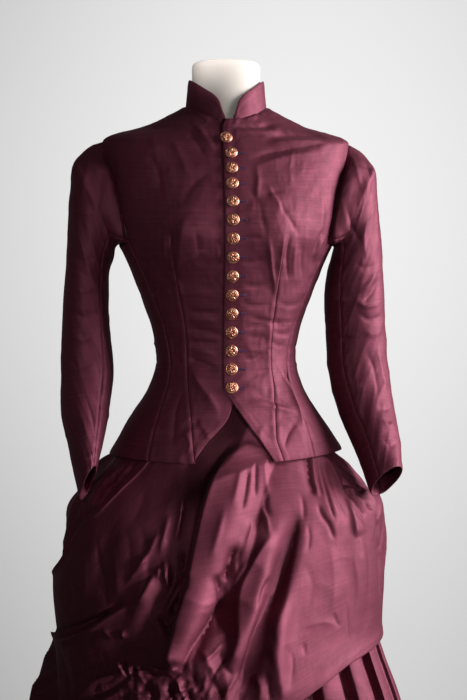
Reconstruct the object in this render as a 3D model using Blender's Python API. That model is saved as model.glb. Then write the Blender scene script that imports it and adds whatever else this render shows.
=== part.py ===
"""A bustle dress of the 1880s on a limbless dress form: bodice, two-piece sleeves, pleated skirt and drapery.

Metres, +Z up. The dress faces -Y, and +X is the wearer's left. The origin is the middle of the stand's
underside, on the floor. An angle goes round the figure in degrees: 0 is the centre front, +90 the wearer's
left side, -90 the wearer's right side, and +180 or -180 the centre back.
"""

import math
from bisect import bisect_right
from collections import namedtuple

import bpy
import numpy as np

# Driving sizes
SEAM_GAP = 0.0004
MOST_MITRE = 2.2
BODICE_WALL = 0.0015
SLEEVE_WALL = 0.0012
SKIRT_WALL = 0.0012
COLLAR_WALL = 0.0018
WAIST_SEAM = 1.000
BAND_HEIGHT = 0.026
BAND_WALL = 0.0018
HEM_HEIGHT = 0.014

# The bodice's front edges
LAP_WIDTH = 0.012
LAP_LIFT = 0.0026
LAP_FADE = 0.060
HEM_TILT = 0.0035

# Fifteen domed buttons
BUTTON_RADIUS = 0.0100
BUTTON_DEPTH = 0.0046
BUTTON_SIDES = 10
TOP_BUTTON = 1.3765
CLOSE_BUTTONS = 3
CLOSE_PITCH = 0.0250
WIDE_PITCH = 0.0291
BUTTON_COUNT = 15
TOP_BUTTON_SHIFT = -0.007

# The skirt's box pleats
PLEATS_PER_PANEL = 6
PLEAT_DEPTH = 0.020
PANEL_GAP = 0.09
PLEAT_START = 0.90
PLEAT_FULL = 0.55

# The dress form and its stand
FORM_SIDES = 28
NECK_TOP = 1.508
POLE_RADIUS = 0.016
POLE_SIDES = 20
BASE_RADIUS = 0.175
BASE_HEIGHT = 0.012
BASE_SIDES = 40

# A level is a row of this table: a ring round the bodice, from its hem up to its neckline
Ring = namedtuple("Ring", "level front_z side_z back_z half_width front back")
BODICE_RINGS = [
    Ring(0.0, 0.864, 0.877, 0.889, 0.1900, 0.1340, 0.2380),
    Ring(1.0, 0.905, 0.912, 0.921, 0.1690, 0.1240, 0.1860),
    Ring(2.0, 0.945, 0.949, 0.954, 0.1450, 0.1120, 0.1380),
    Ring(3.0, 0.985, 0.986, 0.988, 0.1240, 0.0985, 0.0940),
    Ring(4.0, 1.028, 1.028, 1.028, 0.1140, 0.0910, 0.0765),
    Ring(5.0, 1.075, 1.075, 1.075, 0.1205, 0.0965, 0.0800),
    Ring(6.0, 1.123, 1.123, 1.123, 0.1370, 0.1050, 0.0895),
    Ring(7.0, 1.169, 1.169, 1.169, 0.1545, 0.1130, 0.0985),
    Ring(8.0, 1.215, 1.213, 1.215, 0.1740, 0.1165, 0.1045),
    Ring(9.0, 1.262, 1.262, 1.265, 0.1880, 0.1130, 0.1080),
    Ring(10.0, 1.312, 1.322, 1.318, 0.1960, 0.1020, 0.1050),
    Ring(11.0, 1.351, 1.377, 1.366, 0.2010, 0.0880, 0.0930),
    Ring(12.0, 1.384, 1.405, 1.412, 0.1280, 0.0730, 0.0740),
    Ring(13.0, 1.410, 1.436, 1.447, 0.0660, 0.0600, 0.0600),
]
ARMPIT, SHOULDER, NECKLINE = 8.0, 11.0, 13.0

# The two halves of the bust, as a soft swell of the front
BUST_SWELL = 0.019
BUST_X, BUST_Z = 0.074, 1.232
BUST_SPREAD_X, BUST_SPREAD_Z = 0.052, 0.056
BUST_BRIDGE = 0.028

# Seams round the bodice, in degrees from the centre front at each level
Seams = namedtuple("Seams", "level side_front side_back centre_back")
BODICE_SEAMS = [
    Seams(0.0, 44.0, 101.0, 148.0),
    Seams(2.0, 50.0, 101.0, 158.0),
    Seams(4.0, 56.0, 101.0, 163.0),
    Seams(6.0, 62.0, 102.0, 158.0),
    Seams(8.0, 67.0, 104.0, 148.0),
    Seams(9.0, 68.0, 108.0, 136.0),
    Seams(10.0, 74.0, 109.0, 118.0),
    Seams(10.5, 80.0, 104.0, 106.5),
]
SIDE_BACK_TOP = 10.5

# The armhole's front and back edges, in degrees at each level from the armpit to the shoulder
Armhole = namedtuple("Armhole", "level front back")
ARMHOLES = [
    Armhole(8.0, 67.0, 104.0),
    Armhole(8.6, 66.5, 109.0),
    Armhole(9.4, 68.0, 111.0),
    Armhole(10.0, 72.0, 109.0),
    Armhole(10.5, 79.0, 104.0),
    Armhole(11.0, 90.0, 90.0),
]

# Where each front's inner edge runs, as x on its own side (negative is past the centre front)
FrontEdge = namedtuple("FrontEdge", "level left_front right_front")
FRONT_EDGES = [
    FrontEdge(0.0, 0.0660, 0.0640),
    FrontEdge(0.8, 0.0440, 0.0400),
    FrontEdge(1.6, 0.0210, 0.0100),
    FrontEdge(2.3, 0.0020, -0.0015),
    FrontEdge(3.0, -LAP_WIDTH, -0.0080),
    FrontEdge(12.4, -LAP_WIDTH, -0.0080),
    FrontEdge(13.0, -0.0060, -0.0020),
]

# The stand collar: its height at each angle from the centre front
CollarHeight = namedtuple("CollarHeight", "angle height")
COLLAR_HEIGHTS = [
    CollarHeight(5.5, 0.0030),
    CollarHeight(9.0, 0.0110),
    CollarHeight(13.0, 0.0245),
    CollarHeight(21.0, 0.0345),
    CollarHeight(36.0, 0.0395),
    CollarHeight(72.0, 0.0430),
    CollarHeight(180.0, 0.0440),
]
COLLAR_LEAN = 0.0045
COLLAR_GAP = 0.0007

# Each sleeve's sections from the cap to the cuff: its inner and outer side as x (outwards) and z, then
# its middle's y, its half depth front to back, and the degrees its front is raised above its back
Section = namedtuple("Section", "inner_x inner_z outer_x outer_z y half_depth raise_front")
LEFT_SLEEVE = [
    Section(0.1785, 1.207, 0.2400, 1.342, 0.000, 0.0600, 0.0),
    Section(0.1740, 1.190, 0.2490, 1.290, 0.001, 0.0600, 0.0),
    Section(0.1670, 1.165, 0.2550, 1.225, 0.002, 0.0570, 0.0),
    Section(0.1625, 1.125, 0.2600, 1.150, 0.002, 0.0540, 0.0),
    Section(0.1645, 1.075, 0.2625, 1.080, 0.001, 0.0510, 4.0),
    Section(0.1670, 1.010, 0.2665, 1.010, -0.006, 0.0480, 10.0),
    Section(0.1800, 0.945, 0.2710, 0.945, -0.032, 0.0450, 22.0),
    Section(0.2010, 0.886, 0.2735, 0.893, -0.070, 0.0400, 32.0),
    Section(0.2200, 0.820, 0.2700, 0.848, -0.108, 0.0340, 38.0),
]
RIGHT_SLEEVE = [
    Section(0.1800, 1.207, 0.2460, 1.345, 0.000, 0.0600, 0.0),
    Section(0.1830, 1.190, 0.2540, 1.290, 0.001, 0.0600, 0.0),
    Section(0.1900, 1.165, 0.2570, 1.225, 0.002, 0.0570, 0.0),
    Section(0.1910, 1.125, 0.2620, 1.150, 0.002, 0.0540, 0.0),
    Section(0.1880, 1.075, 0.2660, 1.080, 0.001, 0.0510, 4.0),
    Section(0.1830, 1.010, 0.2680, 1.010, -0.006, 0.0480, 10.0),
    Section(0.1900, 0.945, 0.2670, 0.940, -0.032, 0.0450, 20.0),
    Section(0.2000, 0.897, 0.2540, 0.882, -0.070, 0.0400, 28.0),
    Section(0.2110, 0.856, 0.2380, 0.812, -0.104, 0.0340, 30.0),
]
FRONT_SLEEVE_SEAM = 128.0
BACK_SLEEVE_SEAM = 262.0
SLEEVE_COLUMNS = 20
SLEEVE_STEPS = 13
ARMHOLE_GAP = 0.0020
ARMHOLE_MIDDLE = (0.190, 0.000, 1.292)
ARMPIT_HALF = 26.0

# The skirt under its drapery, before its pleats: half width, front and back at each height
Girth = namedtuple("Girth", "height half_width front back")
SKIRT_GIRTHS = [
    Girth(0.014, 0.4000, 0.3150, 0.4500),
    Girth(0.200, 0.3590, 0.2800, 0.4040),
    Girth(0.350, 0.3210, 0.2480, 0.3680),
    Girth(0.450, 0.2930, 0.2230, 0.3460),
    Girth(0.500, 0.2765, 0.2090, 0.3350),
    Girth(0.550, 0.2580, 0.1950, 0.3260),
    Girth(0.600, 0.2430, 0.1810, 0.3180),
    Girth(0.700, 0.2320, 0.1600, 0.3050),
    Girth(0.800, 0.2080, 0.1370, 0.2760),
    Girth(0.880, 0.1710, 0.1140, 0.2140),
    Girth(0.920, 0.1480, 0.1050, 0.1600),
    Girth(0.960, 0.1270, 0.0960, 0.1100),
    Girth(1.000, 0.1113, 0.0884, 0.0738),
]

# The apron: where its top edge, its two tucks and its hem lie. "turn" is the angle in its upper part;
# lower down its right half is drawn forward, by TUCKED_EDGE. A tuck's depth is the share of a full
# tuck, so 0 is where it has run out into the folds.
Apron = namedtuple("Apron", "turn top tuck_a tuck_b hem depth_a depth_b")
APRON_LINES = [
    Apron(-98.0, 0.680, 0.584, 0.474, 0.372, 1.0, 1.0),
    Apron(-86.0, 0.692, 0.590, 0.490, 0.366, 1.0, 1.0),
    Apron(-75.0, 0.715, 0.600, 0.506, 0.366, 1.0, 1.0),
    Apron(-64.0, 0.775, 0.612, 0.521, 0.373, 0.95, 0.95),
    Apron(-55.0, 0.795, 0.624, 0.539, 0.382, 0.75, 0.85),
    Apron(-48.0, 0.838, 0.639, 0.548, 0.390, 0.45, 0.75),
    Apron(-42.0, 0.885, 0.651, 0.555, 0.398, 0.20, 0.60),
    Apron(-34.0, 0.940, 0.662, 0.560, 0.410, 0.0, 0.40),
    Apron(-22.0, 0.988, 0.683, 0.568, 0.430, 0.0, 0.12),
    Apron(-12.0, 0.9997, 0.700, 0.578, 0.449, 0.0, 0.0),
    Apron(0.0, 0.9997, 0.720, 0.595, 0.469, 0.0, 0.0),
    Apron(15.0, 0.9997, 0.738, 0.620, 0.503, 0.0, 0.0),
    Apron(28.0, 0.984, 0.748, 0.636, 0.532, 0.0, 0.0),
    Apron(40.0, 0.938, 0.755, 0.650, 0.555, 0.0, 0.0),
    Apron(48.0, 0.898, 0.755, 0.656, 0.563, 0.0, 0.0),
    Apron(53.0, 0.872, 0.752, 0.658, 0.567, 0.0, 0.0),
    Apron(58.0, 0.845, 0.748, 0.660, 0.570, 0.0, 0.0),
    Apron(66.0, 0.822, 0.742, 0.660, 0.575, 0.0, 0.0),
    Apron(75.0, 0.814, 0.737, 0.659, 0.579, 0.0, 0.0),
    Apron(86.0, 0.808, 0.730, 0.658, 0.582, 0.0, 0.0),
    Apron(98.0, 0.801, 0.724, 0.655, 0.584, 0.0, 0.0),
]
TUCK_RETURN = 0.022
TUCK_STEP = 0.0070

# The angle that the apron's edge has come round to at its right side, by height
Edge = namedtuple("Edge", "height angle")
TUCKED_EDGE = [
    Edge(0.360, 60.0),
    Edge(0.480, 66.0),
    Edge(0.516, 76.0),
    Edge(0.550, 87.0),
    Edge(0.590, 94.0),
    Edge(0.700, 98.0),
]

# How far the apron stands off the skirt in front and at the wearer's right and left, by height
Stand = namedtuple("Stand", "key front right left back")
APRON_STAND = [
    Stand(0.340, 0.018, 0.004, 0.008, 0.0),
    Stand(0.500, 0.022, 0.005, 0.008, 0.0),
    Stand(0.550, 0.024, 0.013, 0.008, 0.0),
    Stand(0.584, 0.026, 0.027, 0.009, 0.0),
    Stand(0.620, 0.027, 0.038, 0.016, 0.0),
    Stand(0.660, 0.028, 0.0445, 0.022, 0.0),
    Stand(0.700, 0.028, 0.0455, 0.027, 0.0),
    Stand(0.750, 0.026, 0.0450, 0.038, 0.0),
    Stand(0.790, 0.022, 0.0460, 0.046, 0.0),
    Stand(0.820, 0.0165, 0.0350, 0.037, 0.0),
    Stand(0.850, 0.0105, 0.0145, 0.021, 0.0),
    Stand(0.880, 0.0075, 0.0075, 0.0080, 0.0),
    Stand(0.920, 0.0060, 0.0065, 0.0065, 0.0),
    Stand(0.960, 0.0042, 0.0042, 0.0042, 0.0),
    Stand(1.000, 0.0022, 0.0022, 0.0022, 0.0),
]

# Where the bottom edge of each puff of the back drapery lies, going round from the wearer's left
PuffEdge = namedtuple("PuffEdge", "turn bottom")
UPPER_PUFF_EDGE = [
    PuffEdge(50.0, 0.858),
    PuffEdge(58.0, 0.825),
    PuffEdge(66.0, 0.805),
    PuffEdge(86.0, 0.790),
    PuffEdge(120.0, 0.788),
    PuffEdge(180.0, 0.792),
    PuffEdge(220.0, 0.765),
    PuffEdge(245.0, 0.705),
    PuffEdge(262.0, 0.668),
    PuffEdge(275.0, 0.672),
    PuffEdge(285.0, 0.697),
    PuffEdge(296.0, 0.752),
    PuffEdge(305.0, 0.776),
    PuffEdge(314.0, 0.812),
]
LOWER_PUFF_EDGE = [
    PuffEdge(84.0, 0.605),
    PuffEdge(120.0, 0.580),
    PuffEdge(180.0, 0.530),
    PuffEdge(240.0, 0.455),
    PuffEdge(270.0, 0.425),
    PuffEdge(306.0, 0.415),
]
LOWER_PUFF_TOP = 0.800

# How far each puff stands off the skirt, by the share of its height
UPPER_PUFF_STAND = [
    Stand(0.00, 0.008, 0.030, 0.032, 0.034),
    Stand(0.08, 0.010, 0.033, 0.035, 0.056),
    Stand(0.28, 0.012, 0.038, 0.0400, 0.076),
    Stand(0.45, 0.012, 0.043, 0.0385, 0.080),
    Stand(0.62, 0.012, 0.047, 0.0345, 0.080),
    Stand(0.78, 0.012, 0.042, 0.0290, 0.072),
    Stand(0.92, 0.010, 0.030, 0.0220, 0.050),
    Stand(1.00, 0.008, 0.0115, 0.0115, 0.018),
]
LOWER_PUFF_STAND = [
    Stand(0.00, 0.004, 0.006, 0.005, 0.006),
    Stand(0.06, 0.010, 0.020, 0.012, 0.030),
    Stand(0.18, 0.020, 0.034, 0.018, 0.056),
    Stand(0.32, 0.022, 0.036, 0.024, 0.068),
    Stand(0.50, 0.024, 0.032, 0.030, 0.076),
    Stand(0.75, 0.026, 0.034, 0.037, 0.074),
    Stand(0.92, 0.018, 0.030, 0.032, 0.052),
    Stand(1.00, 0.010, 0.0235, 0.0235, 0.026),
]
UNDER_LAYER = 0.0055
UNDER_PUFF = 0.0090
PUFF_GATHERS = 13
GATHER_DEPTH = 0.006

# The apron's largest folds, as lines seen from the front: x and z at the two ends, the half width, and
# the height, where a ridge stands out and a trough sinks in
Fold = namedtuple("Fold", "x0 z0 x1 z1 half_width height")
APRON_FOLDS = [
    Fold(0.030, 0.880, -0.060, 0.660, 0.026, 0.013),
    Fold(-0.050, 0.690, -0.098, 0.530, 0.020, 0.010),
    Fold(0.004, 0.720, -0.030, 0.560, 0.018, -0.011),
    Fold(0.062, 0.760, 0.004, 0.560, 0.016, 0.010),
    Fold(0.095, 0.785, 0.030, 0.600, 0.017, -0.012),
    Fold(0.040, 0.620, -0.010, 0.480, 0.018, -0.010),
    Fold(0.066, 0.690, 0.050, 0.520, 0.018, 0.012),
    Fold(-0.190, 0.780, -0.205, 0.660, 0.016, -0.006),
    Fold(-0.120, 0.700, -0.165, 0.600, 0.016, 0.006),
    Fold(0.190, 0.780, 0.215, 0.640, 0.018, 0.006),
    Fold(0.150, 0.850, 0.158, 0.740, 0.014, 0.006),
]

# The levels at which the bodice's pieces have a row of corners, and the front's columns with its dart
LEVELS = [
    0.0, 0.7, 1.4, 2.1, 2.75, 4.0, 4.9, 5.8, 6.6, 7.3,
    8.0, 8.7, 9.4, 10.0, 10.5, 11.0, 11.6, 12.3, 13.0,
]
FRONT_COLUMNS = 8
DART_AT = 4
DART_DEPTH = 0.0006
DART_TOP_LEVEL = 7.6

# The form's rings under the skirt and at the neck, and how far its skin lies inside the bodice at each level
Hip = namedtuple("Hip", "z half_width front back")
FORM_HIPS = [
    Hip(0.790, 0.1200, 0.0850, 0.0950),
    Hip(0.803, 0.1430, 0.0970, 0.1170),
    Hip(0.850, 0.1500, 0.1010, 0.1260),
    Hip(0.900, 0.1400, 0.0990, 0.1120),
    Hip(0.945, 0.1235, 0.0915, 0.0920),
    Hip(0.975, 0.1125, 0.0870, 0.0770),
    Hip(1.000, 0.1078, 0.0850, 0.0704),
]
FORM_NECK = [
    Hip(1.462, 0.0555, 0.0500, 0.0500),
    Hip(1.498, 0.0555, 0.0495, 0.0495),
    Hip(1.505, 0.0540, 0.0480, 0.0480),
    Hip(NECK_TOP, 0.0500, 0.0440, 0.0440),
]
FormInset = namedtuple("FormInset", "level inset")
FORM_INSETS = [
    FormInset(4.0, 0.0058),
    FormInset(4.9, 0.0044),
    FormInset(5.8, 0.0034),
    FormInset(9.0, 0.0034),
    FormInset(10.0, 0.0038),
    FormInset(10.5, 0.0062),
    FormInset(11.0, 0.0085),
    FormInset(11.6, 0.0055),
    FormInset(12.3, 0.0040),
    FormInset(13.0, 0.0030),
]

Colour = namedtuple("Colour", "name rgb roughness metallic")
TAFFETA = Colour("taffeta", (0.115, 0.016, 0.036), 0.42, 0.0)
GILT = Colour("gilt_metal", (0.60, 0.27, 0.13), 0.35, 1.0)
FORM_CLOTH = Colour("form_cover", (0.78, 0.74, 0.67), 0.6, 0.0)
STEEL = Colour("stand_metal", (0.10, 0.10, 0.11), 0.4, 1.0)


def clear_scene():
    """Remove every object that the scene starts with."""
    for thing in list(bpy.data.objects):
        bpy.data.objects.remove(thing)


def material_of(colour):
    """The named Principled material, made once."""
    material = bpy.data.materials.get(colour.name)
    if material is None:
        material = bpy.data.materials.new(colour.name)
        material.use_nodes = True
        shader = material.node_tree.nodes["Principled BSDF"]
        shader.inputs["Base Color"].default_value = (*colour.rgb, 1.0)
        shader.inputs["Roughness"].default_value = colour.roughness
        shader.inputs["Metallic"].default_value = colour.metallic
    return material


def ease(share):
    """A smooth step from 0 to 1."""
    share = min(max(share, 0.0), 1.0)
    return share * share * (3.0 - 2.0 * share)


def row_at(rows, key):
    """The table's row at a key between its own keys (its first column), on a smooth curve through them."""
    keys = [row[0] for row in rows]
    key = min(max(key, keys[0]), keys[-1])
    i = min(max(bisect_right(keys, key) - 1, 0), len(keys) - 2)
    span = keys[i + 1] - keys[i]
    share = (key - keys[i]) / span
    low, high = np.array(rows[i]), np.array(rows[i + 1])

    def slope(j):
        """The slope of every column at row j, level where a column turns back, so it never overshoots."""
        before, after = max(j - 1, 0), min(j + 1, len(rows) - 1)
        here = np.array(rows[j])
        if before == j or after == j:
            return (np.array(rows[after]) - np.array(rows[before])) / (keys[after] - keys[before])
        into = (here - np.array(rows[before])) / (keys[j] - keys[before])
        away = (np.array(rows[after]) - here) / (keys[after] - keys[j])
        least = 3.0 * np.minimum(abs(into), abs(away))
        through = np.clip(0.5 * (into + away), -least, least)
        return np.where(into * away > 0.0, through, 0.0)

    s2, s3 = share * share, share**3
    value = (
        (2 * s3 - 3 * s2 + 1) * low
        + (s3 - 2 * s2 + share) * span * slope(i)
        + (3 * s2 - 2 * s3) * high
        + (s3 - s2) * span * slope(i + 1)
    )
    return type(rows[0])(*value)


def steps(first, last, count):
    """Evenly spaced values from first to last, both included."""
    return [first + (last - first) * i / (count - 1) for i in range(count)]


# ---- the bodice's surface


def bodice_point(level, angle, out=0.0):
    """A point of the bodice's outer face at a level and an angle, moved out by that much."""
    ring = row_at(BODICE_RINGS, level)
    across, forward = math.sin(math.radians(angle)), math.cos(math.radians(angle))
    depth, end_z = (ring.front, ring.front_z) if forward > 0 else (ring.back, ring.back_z)
    x = (ring.half_width + out) * across
    z = ring.side_z * across**2 + end_z * forward**2
    z += HEM_TILT * across * ease(1.0 - 0.5 * level)
    y = -(depth + out) * forward
    if forward > 0:
        spread_x = math.hypot(x, BUST_BRIDGE) - BUST_X
        swell_x = math.exp(-((spread_x / BUST_SPREAD_X) ** 2))
        swell_z = math.exp(-(((z - BUST_Z) / BUST_SPREAD_Z) ** 2))
        y -= BUST_SWELL * swell_x * swell_z * ease(forward * 2.0)
    return (x, y, z)


def lap_lift(x):
    """How far the lapping front stands off the one under it."""
    return LAP_LIFT * ease((LAP_FADE - x) / (LAP_FADE - LAP_WIDTH))


def gap_angle(level, seam_at):
    """Half a seam's gap as an angle at this level, measured square to the seam where that slants."""
    angle = seam_at(level)
    nudge = 0.05 if level < NECKLINE - 0.05 else -0.05
    here = np.array(bodice_point(level, angle))
    along = np.array(bodice_point(level + nudge, seam_at(level + nudge))) - here
    across = np.array(bodice_point(level, angle + 0.5)) - here
    length = np.linalg.norm(across)
    slant = float(along @ across) / (length * np.linalg.norm(along))
    return 0.5 * (0.5 * SEAM_GAP / length) / math.sqrt(max(0.05, 1.0 - slant**2))


def front_outer_angle(level):
    """The angle of a front's outer edge: its side seam, then the armhole, then the shoulder seam."""
    if level <= ARMPIT:
        return row_at(BODICE_SEAMS, level).side_front
    if level < SHOULDER:
        return row_at(ARMHOLES, level).front
    return 90.0


def back_outer_angle(level):
    """The angle of a centre back's outer edge, as far as the armhole and then the shoulder seam."""
    if level <= SIDE_BACK_TOP:
        return row_at(BODICE_SEAMS, level).centre_back
    if level < SHOULDER:
        return row_at(ARMHOLES, level).back
    return 90.0


def side_back_outer_angle(level):
    """The angle of a side back's outer edge, which is the armhole above the armpit."""
    if level <= ARMPIT:
        return row_at(BODICE_SEAMS, level).side_back
    return row_at(ARMHOLES, level).back


# ---- solids


def bisectors(grid, axis, closed):
    """At each point the direction along an axis of the grid, halving the bend, and 1 over its half cosine."""
    if closed:
        ahead = np.roll(grid, -1, axis=axis) - grid
    else:
        ahead = np.diff(grid, axis=axis)
        last = np.take(ahead, [-1], axis=axis)
        ahead = np.concatenate([ahead, last], axis=axis)
    ahead /= np.maximum(np.linalg.norm(ahead, axis=2, keepdims=True), 1e-12)
    behind = np.roll(ahead, 1, axis=axis)
    if not closed:
        first = [slice(None)] * 3
        first[axis] = slice(0, 1)
        behind[tuple(first)] = ahead[tuple(first)]
    both = ahead + behind
    length = np.linalg.norm(both, axis=2, keepdims=True)
    return both / np.maximum(length, 1e-9), np.minimum(2.0 / np.maximum(length, 1e-9), MOST_MITRE)


def inward_offsets(grid, wall, closed):
    """How far each point of a cloth's outer face moves to lie on its inner face."""
    along, stretch_along = bisectors(grid, 1, closed)
    up, stretch_up = bisectors(grid, 0, False)
    normal = np.cross(along, up)
    normal /= np.maximum(np.linalg.norm(normal, axis=2, keepdims=True), 1e-12)
    return -wall * normal * np.minimum(stretch_along * stretch_up, MOST_MITRE)


def new_object(name, points, faces, colour):
    """An object with that mesh, its faces pointing out and its round parts shaded smooth."""
    mesh = bpy.data.meshes.new(name)
    mesh.from_pydata([tuple(map(float, p)) for p in points], [], faces)
    mesh.validate()
    mesh.materials.append(material_of(colour))
    mesh.shade_smooth()
    mesh.set_sharp_from_angle(angle=math.radians(40.0))
    made = bpy.data.objects.new(name, mesh)
    bpy.context.scene.collection.objects.link(made)
    return made


def cloth_wall(name, rows, wall, colour, closed=False, flip=False, margin=0):
    """A sheet of cloth of that thickness, whose outer face goes through a grid of points.

    Rows run up the cloth and each row runs round it in the direction of growing angle, so that the normal
    of the grid points out. Both faces bend along the same diagonals, so the cloth is as thick everywhere. A mirrored grid is flipped. With a margin, each row has a point more at either
    end, which isn't in the cloth and only says how the surface goes on past its seam.
    """
    outer = np.array(rows, float)
    inner = outer + inward_offsets(outer, -wall if flip else wall, closed)
    if margin:
        outer, inner = outer[:, margin:-margin], inner[:, margin:-margin]
    height, width = outer.shape[:2]
    points = np.concatenate([outer.reshape(-1, 3), inner.reshape(-1, 3)])
    back = height * width

    def at(i, j):
        return i * width + j % width

    faces = []
    for i in range(height - 1):
        for j in range(width if closed else width - 1):
            a, b, c, d = at(i, j), at(i, j + 1), at(i + 1, j + 1), at(i + 1, j)
            faces.append((a, b, c, d))
            faces.append((back + a, back + d, back + c, back + b))
    for j in range(width if closed else width - 1):
        low, high = height - 1, 0
        faces.append((at(low, j), at(low, j + 1), back + at(low, j + 1), back + at(low, j)))
        faces.append((at(high, j + 1), at(high, j), back + at(high, j), back + at(high, j + 1)))
    if not closed:
        for i in range(height - 1):
            first, last = 0, width - 1
            faces.append((at(i + 1, last), at(i, last), back + at(i, last), back + at(i + 1, last)))
            faces.append((at(i, first), at(i + 1, first), back + at(i + 1, first), back + at(i, first)))
    if flip:
        faces = [tuple(reversed(face)) for face in faces]
    return new_object(name, points, faces, colour)


def stacked_solid(name, rings, colour):
    """A closed solid through rings of equal count, from the lowest up, with a flat cap at each end."""
    count = len(rings[0])
    points = [p for ring in rings for p in ring]
    faces = []
    for k in range(len(rings) - 1):
        for j in range(count):
            a, b = k * count + j, k * count + (j + 1) % count
            faces.append((a, b, b + count, a + count))
    faces.append(tuple(reversed(range(count))))
    faces.append(tuple(range((len(rings) - 1) * count, len(rings) * count)))
    return new_object(name, points, faces, colour)


def level_ring(radius, z, sides):
    """A flat ring of points round the Z axis."""
    turns = [2.0 * math.pi * k / sides for k in range(sides)]
    return [(radius * math.cos(t), radius * math.sin(t), z) for t in turns]


# ---- the bodice's pieces


def with_margin(angles):
    """The angles with one more past each end."""
    return [2.0 * angles[0] - angles[1]] + angles + [2.0 * angles[-1] - angles[-2]]


def front_panel(name, side, edge_name):
    """One front, with its dart as a shallow groove from the hem to below the bust."""
    rows = []
    for level in LEVELS:
        half_width = row_at(BODICE_RINGS, level).half_width
        inner_x = getattr(row_at(FRONT_EDGES, level), edge_name)
        second_x = max(LAP_WIDTH, inner_x + 0.010)
        inner, second = (math.degrees(math.asin(x / half_width)) for x in (inner_x, second_x))
        outer = front_outer_angle(level) - gap_angle(level, front_outer_angle)
        angles = [inner] + steps(second, outer, FRONT_COLUMNS)
        row = []
        for k, angle in enumerate(with_margin(angles)):
            x = half_width * math.sin(math.radians(angle))
            out = lap_lift(x) if side > 0 else 0.0
            if level < DART_TOP_LEVEL and k == DART_AT + 1:
                out -= DART_DEPTH
            row.append(bodice_point(level, side * angle, out))
        rows.append(row)
    return cloth_wall(name, rows, BODICE_WALL, TAFFETA, flip=side < 0, margin=1)


def strip_panel(name, side, levels, inner_of, outer_of, columns):
    """A panel between two seams, each given as an angle at a level."""
    rows = []
    for level in levels:
        inner = inner_of(level) + gap_angle(level, inner_of)
        outer = outer_of(level) - gap_angle(level, outer_of)
        rows.append([bodice_point(level, side * a) for a in with_margin(steps(inner, outer, columns))])
    return cloth_wall(name, rows, BODICE_WALL, TAFFETA, flip=side < 0, margin=1)


def seam(name):
    """The angle of one of the bodice's seams, as a function of the level."""
    return lambda level: getattr(row_at(BODICE_SEAMS, level), name)


def build_bodice():
    """The two fronts, and the three pieces of each side behind them."""
    front_panel("bodice_front_left", 1, "left_front")
    front_panel("bodice_front_right", -1, "right_front")
    low = [level for level in LEVELS if level <= ARMPIT]
    side_back = [level for level in LEVELS if level <= SIDE_BACK_TOP]
    for word, side in (("left", 1), ("right", -1)):
        strip_panel(f"bodice_underarm_{word}", side, low, seam("side_front"), seam("side_back"), 6)
        strip_panel(
            f"bodice_side_back_{word}", side, side_back, side_back_outer_angle, seam("centre_back"), 7
        )
        strip_panel(f"bodice_back_{word}", side, LEVELS, back_outer_angle, lambda level: 180.0, 8)


def build_collar():
    """The stand collar, open at the front with rounded ends."""
    half = [5.5, 9.0, 13.0, 18.0, 26.0, 38.0, 50.0, 63.0, 76.0]
    angles = half + steps(90.0, 270.0, 14) + [360.0 - a for a in reversed(half)]
    rows = []
    for share in (0.0, 0.5, 1.0):
        row = []
        for angle in angles:
            from_front = min(angle, 360.0 - angle)
            height = row_at(COLLAR_HEIGHTS, from_front).height
            lean = COLLAR_LEAN * share * height / COLLAR_HEIGHTS[-1].height
            x, y, z = bodice_point(NECKLINE, angle, -lean)
            lap = lap_lift(x) if angle < 90.0 else 0.0
            row.append((x, y - lap, z + COLLAR_GAP + height * share))
        rows.append(row)
    cloth_wall("collar", rows, COLLAR_WALL, TAFFETA)


def button_heights():
    """The height of each button's middle, from the neck down."""
    close = [TOP_BUTTON - CLOSE_PITCH * k for k in range(CLOSE_BUTTONS + 1)]
    rest = BUTTON_COUNT - len(close)
    return close + [close[-1] - WIDE_PITCH * (k + 1) for k in range(rest)]


def centre_front(z):
    """The point of the lapping front at x = 0 and this height, and the outward normal there."""
    line = [np.array(bodice_point(level, 0.0, LAP_LIFT)) for level in LEVELS]
    edge = [bodice_point(level, math.degrees(math.asin(LAP_WIDTH / 0.15)), LAP_LIFT) for level in LEVELS]
    line = [np.array((0.0, beside[1], point[2])) for point, beside in zip(line, edge)]
    place = max(i for i, point in enumerate(line[:-1]) if point[2] <= z)
    below, above = line[place], line[place + 1]
    share = (z - below[2]) / (above[2] - below[2])
    slope = (above - below) / np.linalg.norm(above - below)
    return below + (above - below) * share, np.array((0.0, -slope[2], slope[1]))


def build_buttons():
    """Fifteen domed buttons down the lapping front, each on its own shank."""
    profile = [(0.38, 0.0), (0.38, 0.30), (1.0, 0.36), (0.84, 0.78), (0.35, 1.0)]
    for number, z in enumerate(button_heights(), start=1):
        middle, normal = centre_front(z)
        if number == 1:
            middle = middle + np.array((TOP_BUTTON_SHIFT, 0.0, 0.0))
        middle = middle + normal * SEAM_GAP
        up = np.cross(normal, (1.0, 0.0, 0.0))
        rings = []
        for radius, height in profile:
            ring = []
            for k in range(BUTTON_SIDES):
                turn = 2.0 * math.pi * k / BUTTON_SIDES
                across = np.array((math.cos(turn), 0.0, 0.0)) - up * math.sin(turn)
                ring.append(middle + across * BUTTON_RADIUS * radius + normal * BUTTON_DEPTH * height)
            rings.append(ring)
        made = stacked_solid(f"button_{number:02d}", rings, GILT)
        made.data.flip_normals()


# ---- the sleeves


def armhole_edge(level, back, side):
    """A point of the armhole's edge, straight between the panels' levels as they are."""
    above = min(at for at in LEVELS if at >= level - 1e-6)
    below = max(at for at in LEVELS if at <= level + 1e-6)
    edge = "back" if back else "front"
    low, high = (
        np.array(bodice_point(at, side * getattr(row_at(ARMHOLES, at), edge))) for at in (below, above)
    )
    return low + (high - low) * ((level - below) / max(above - below, 1e-9))


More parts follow.
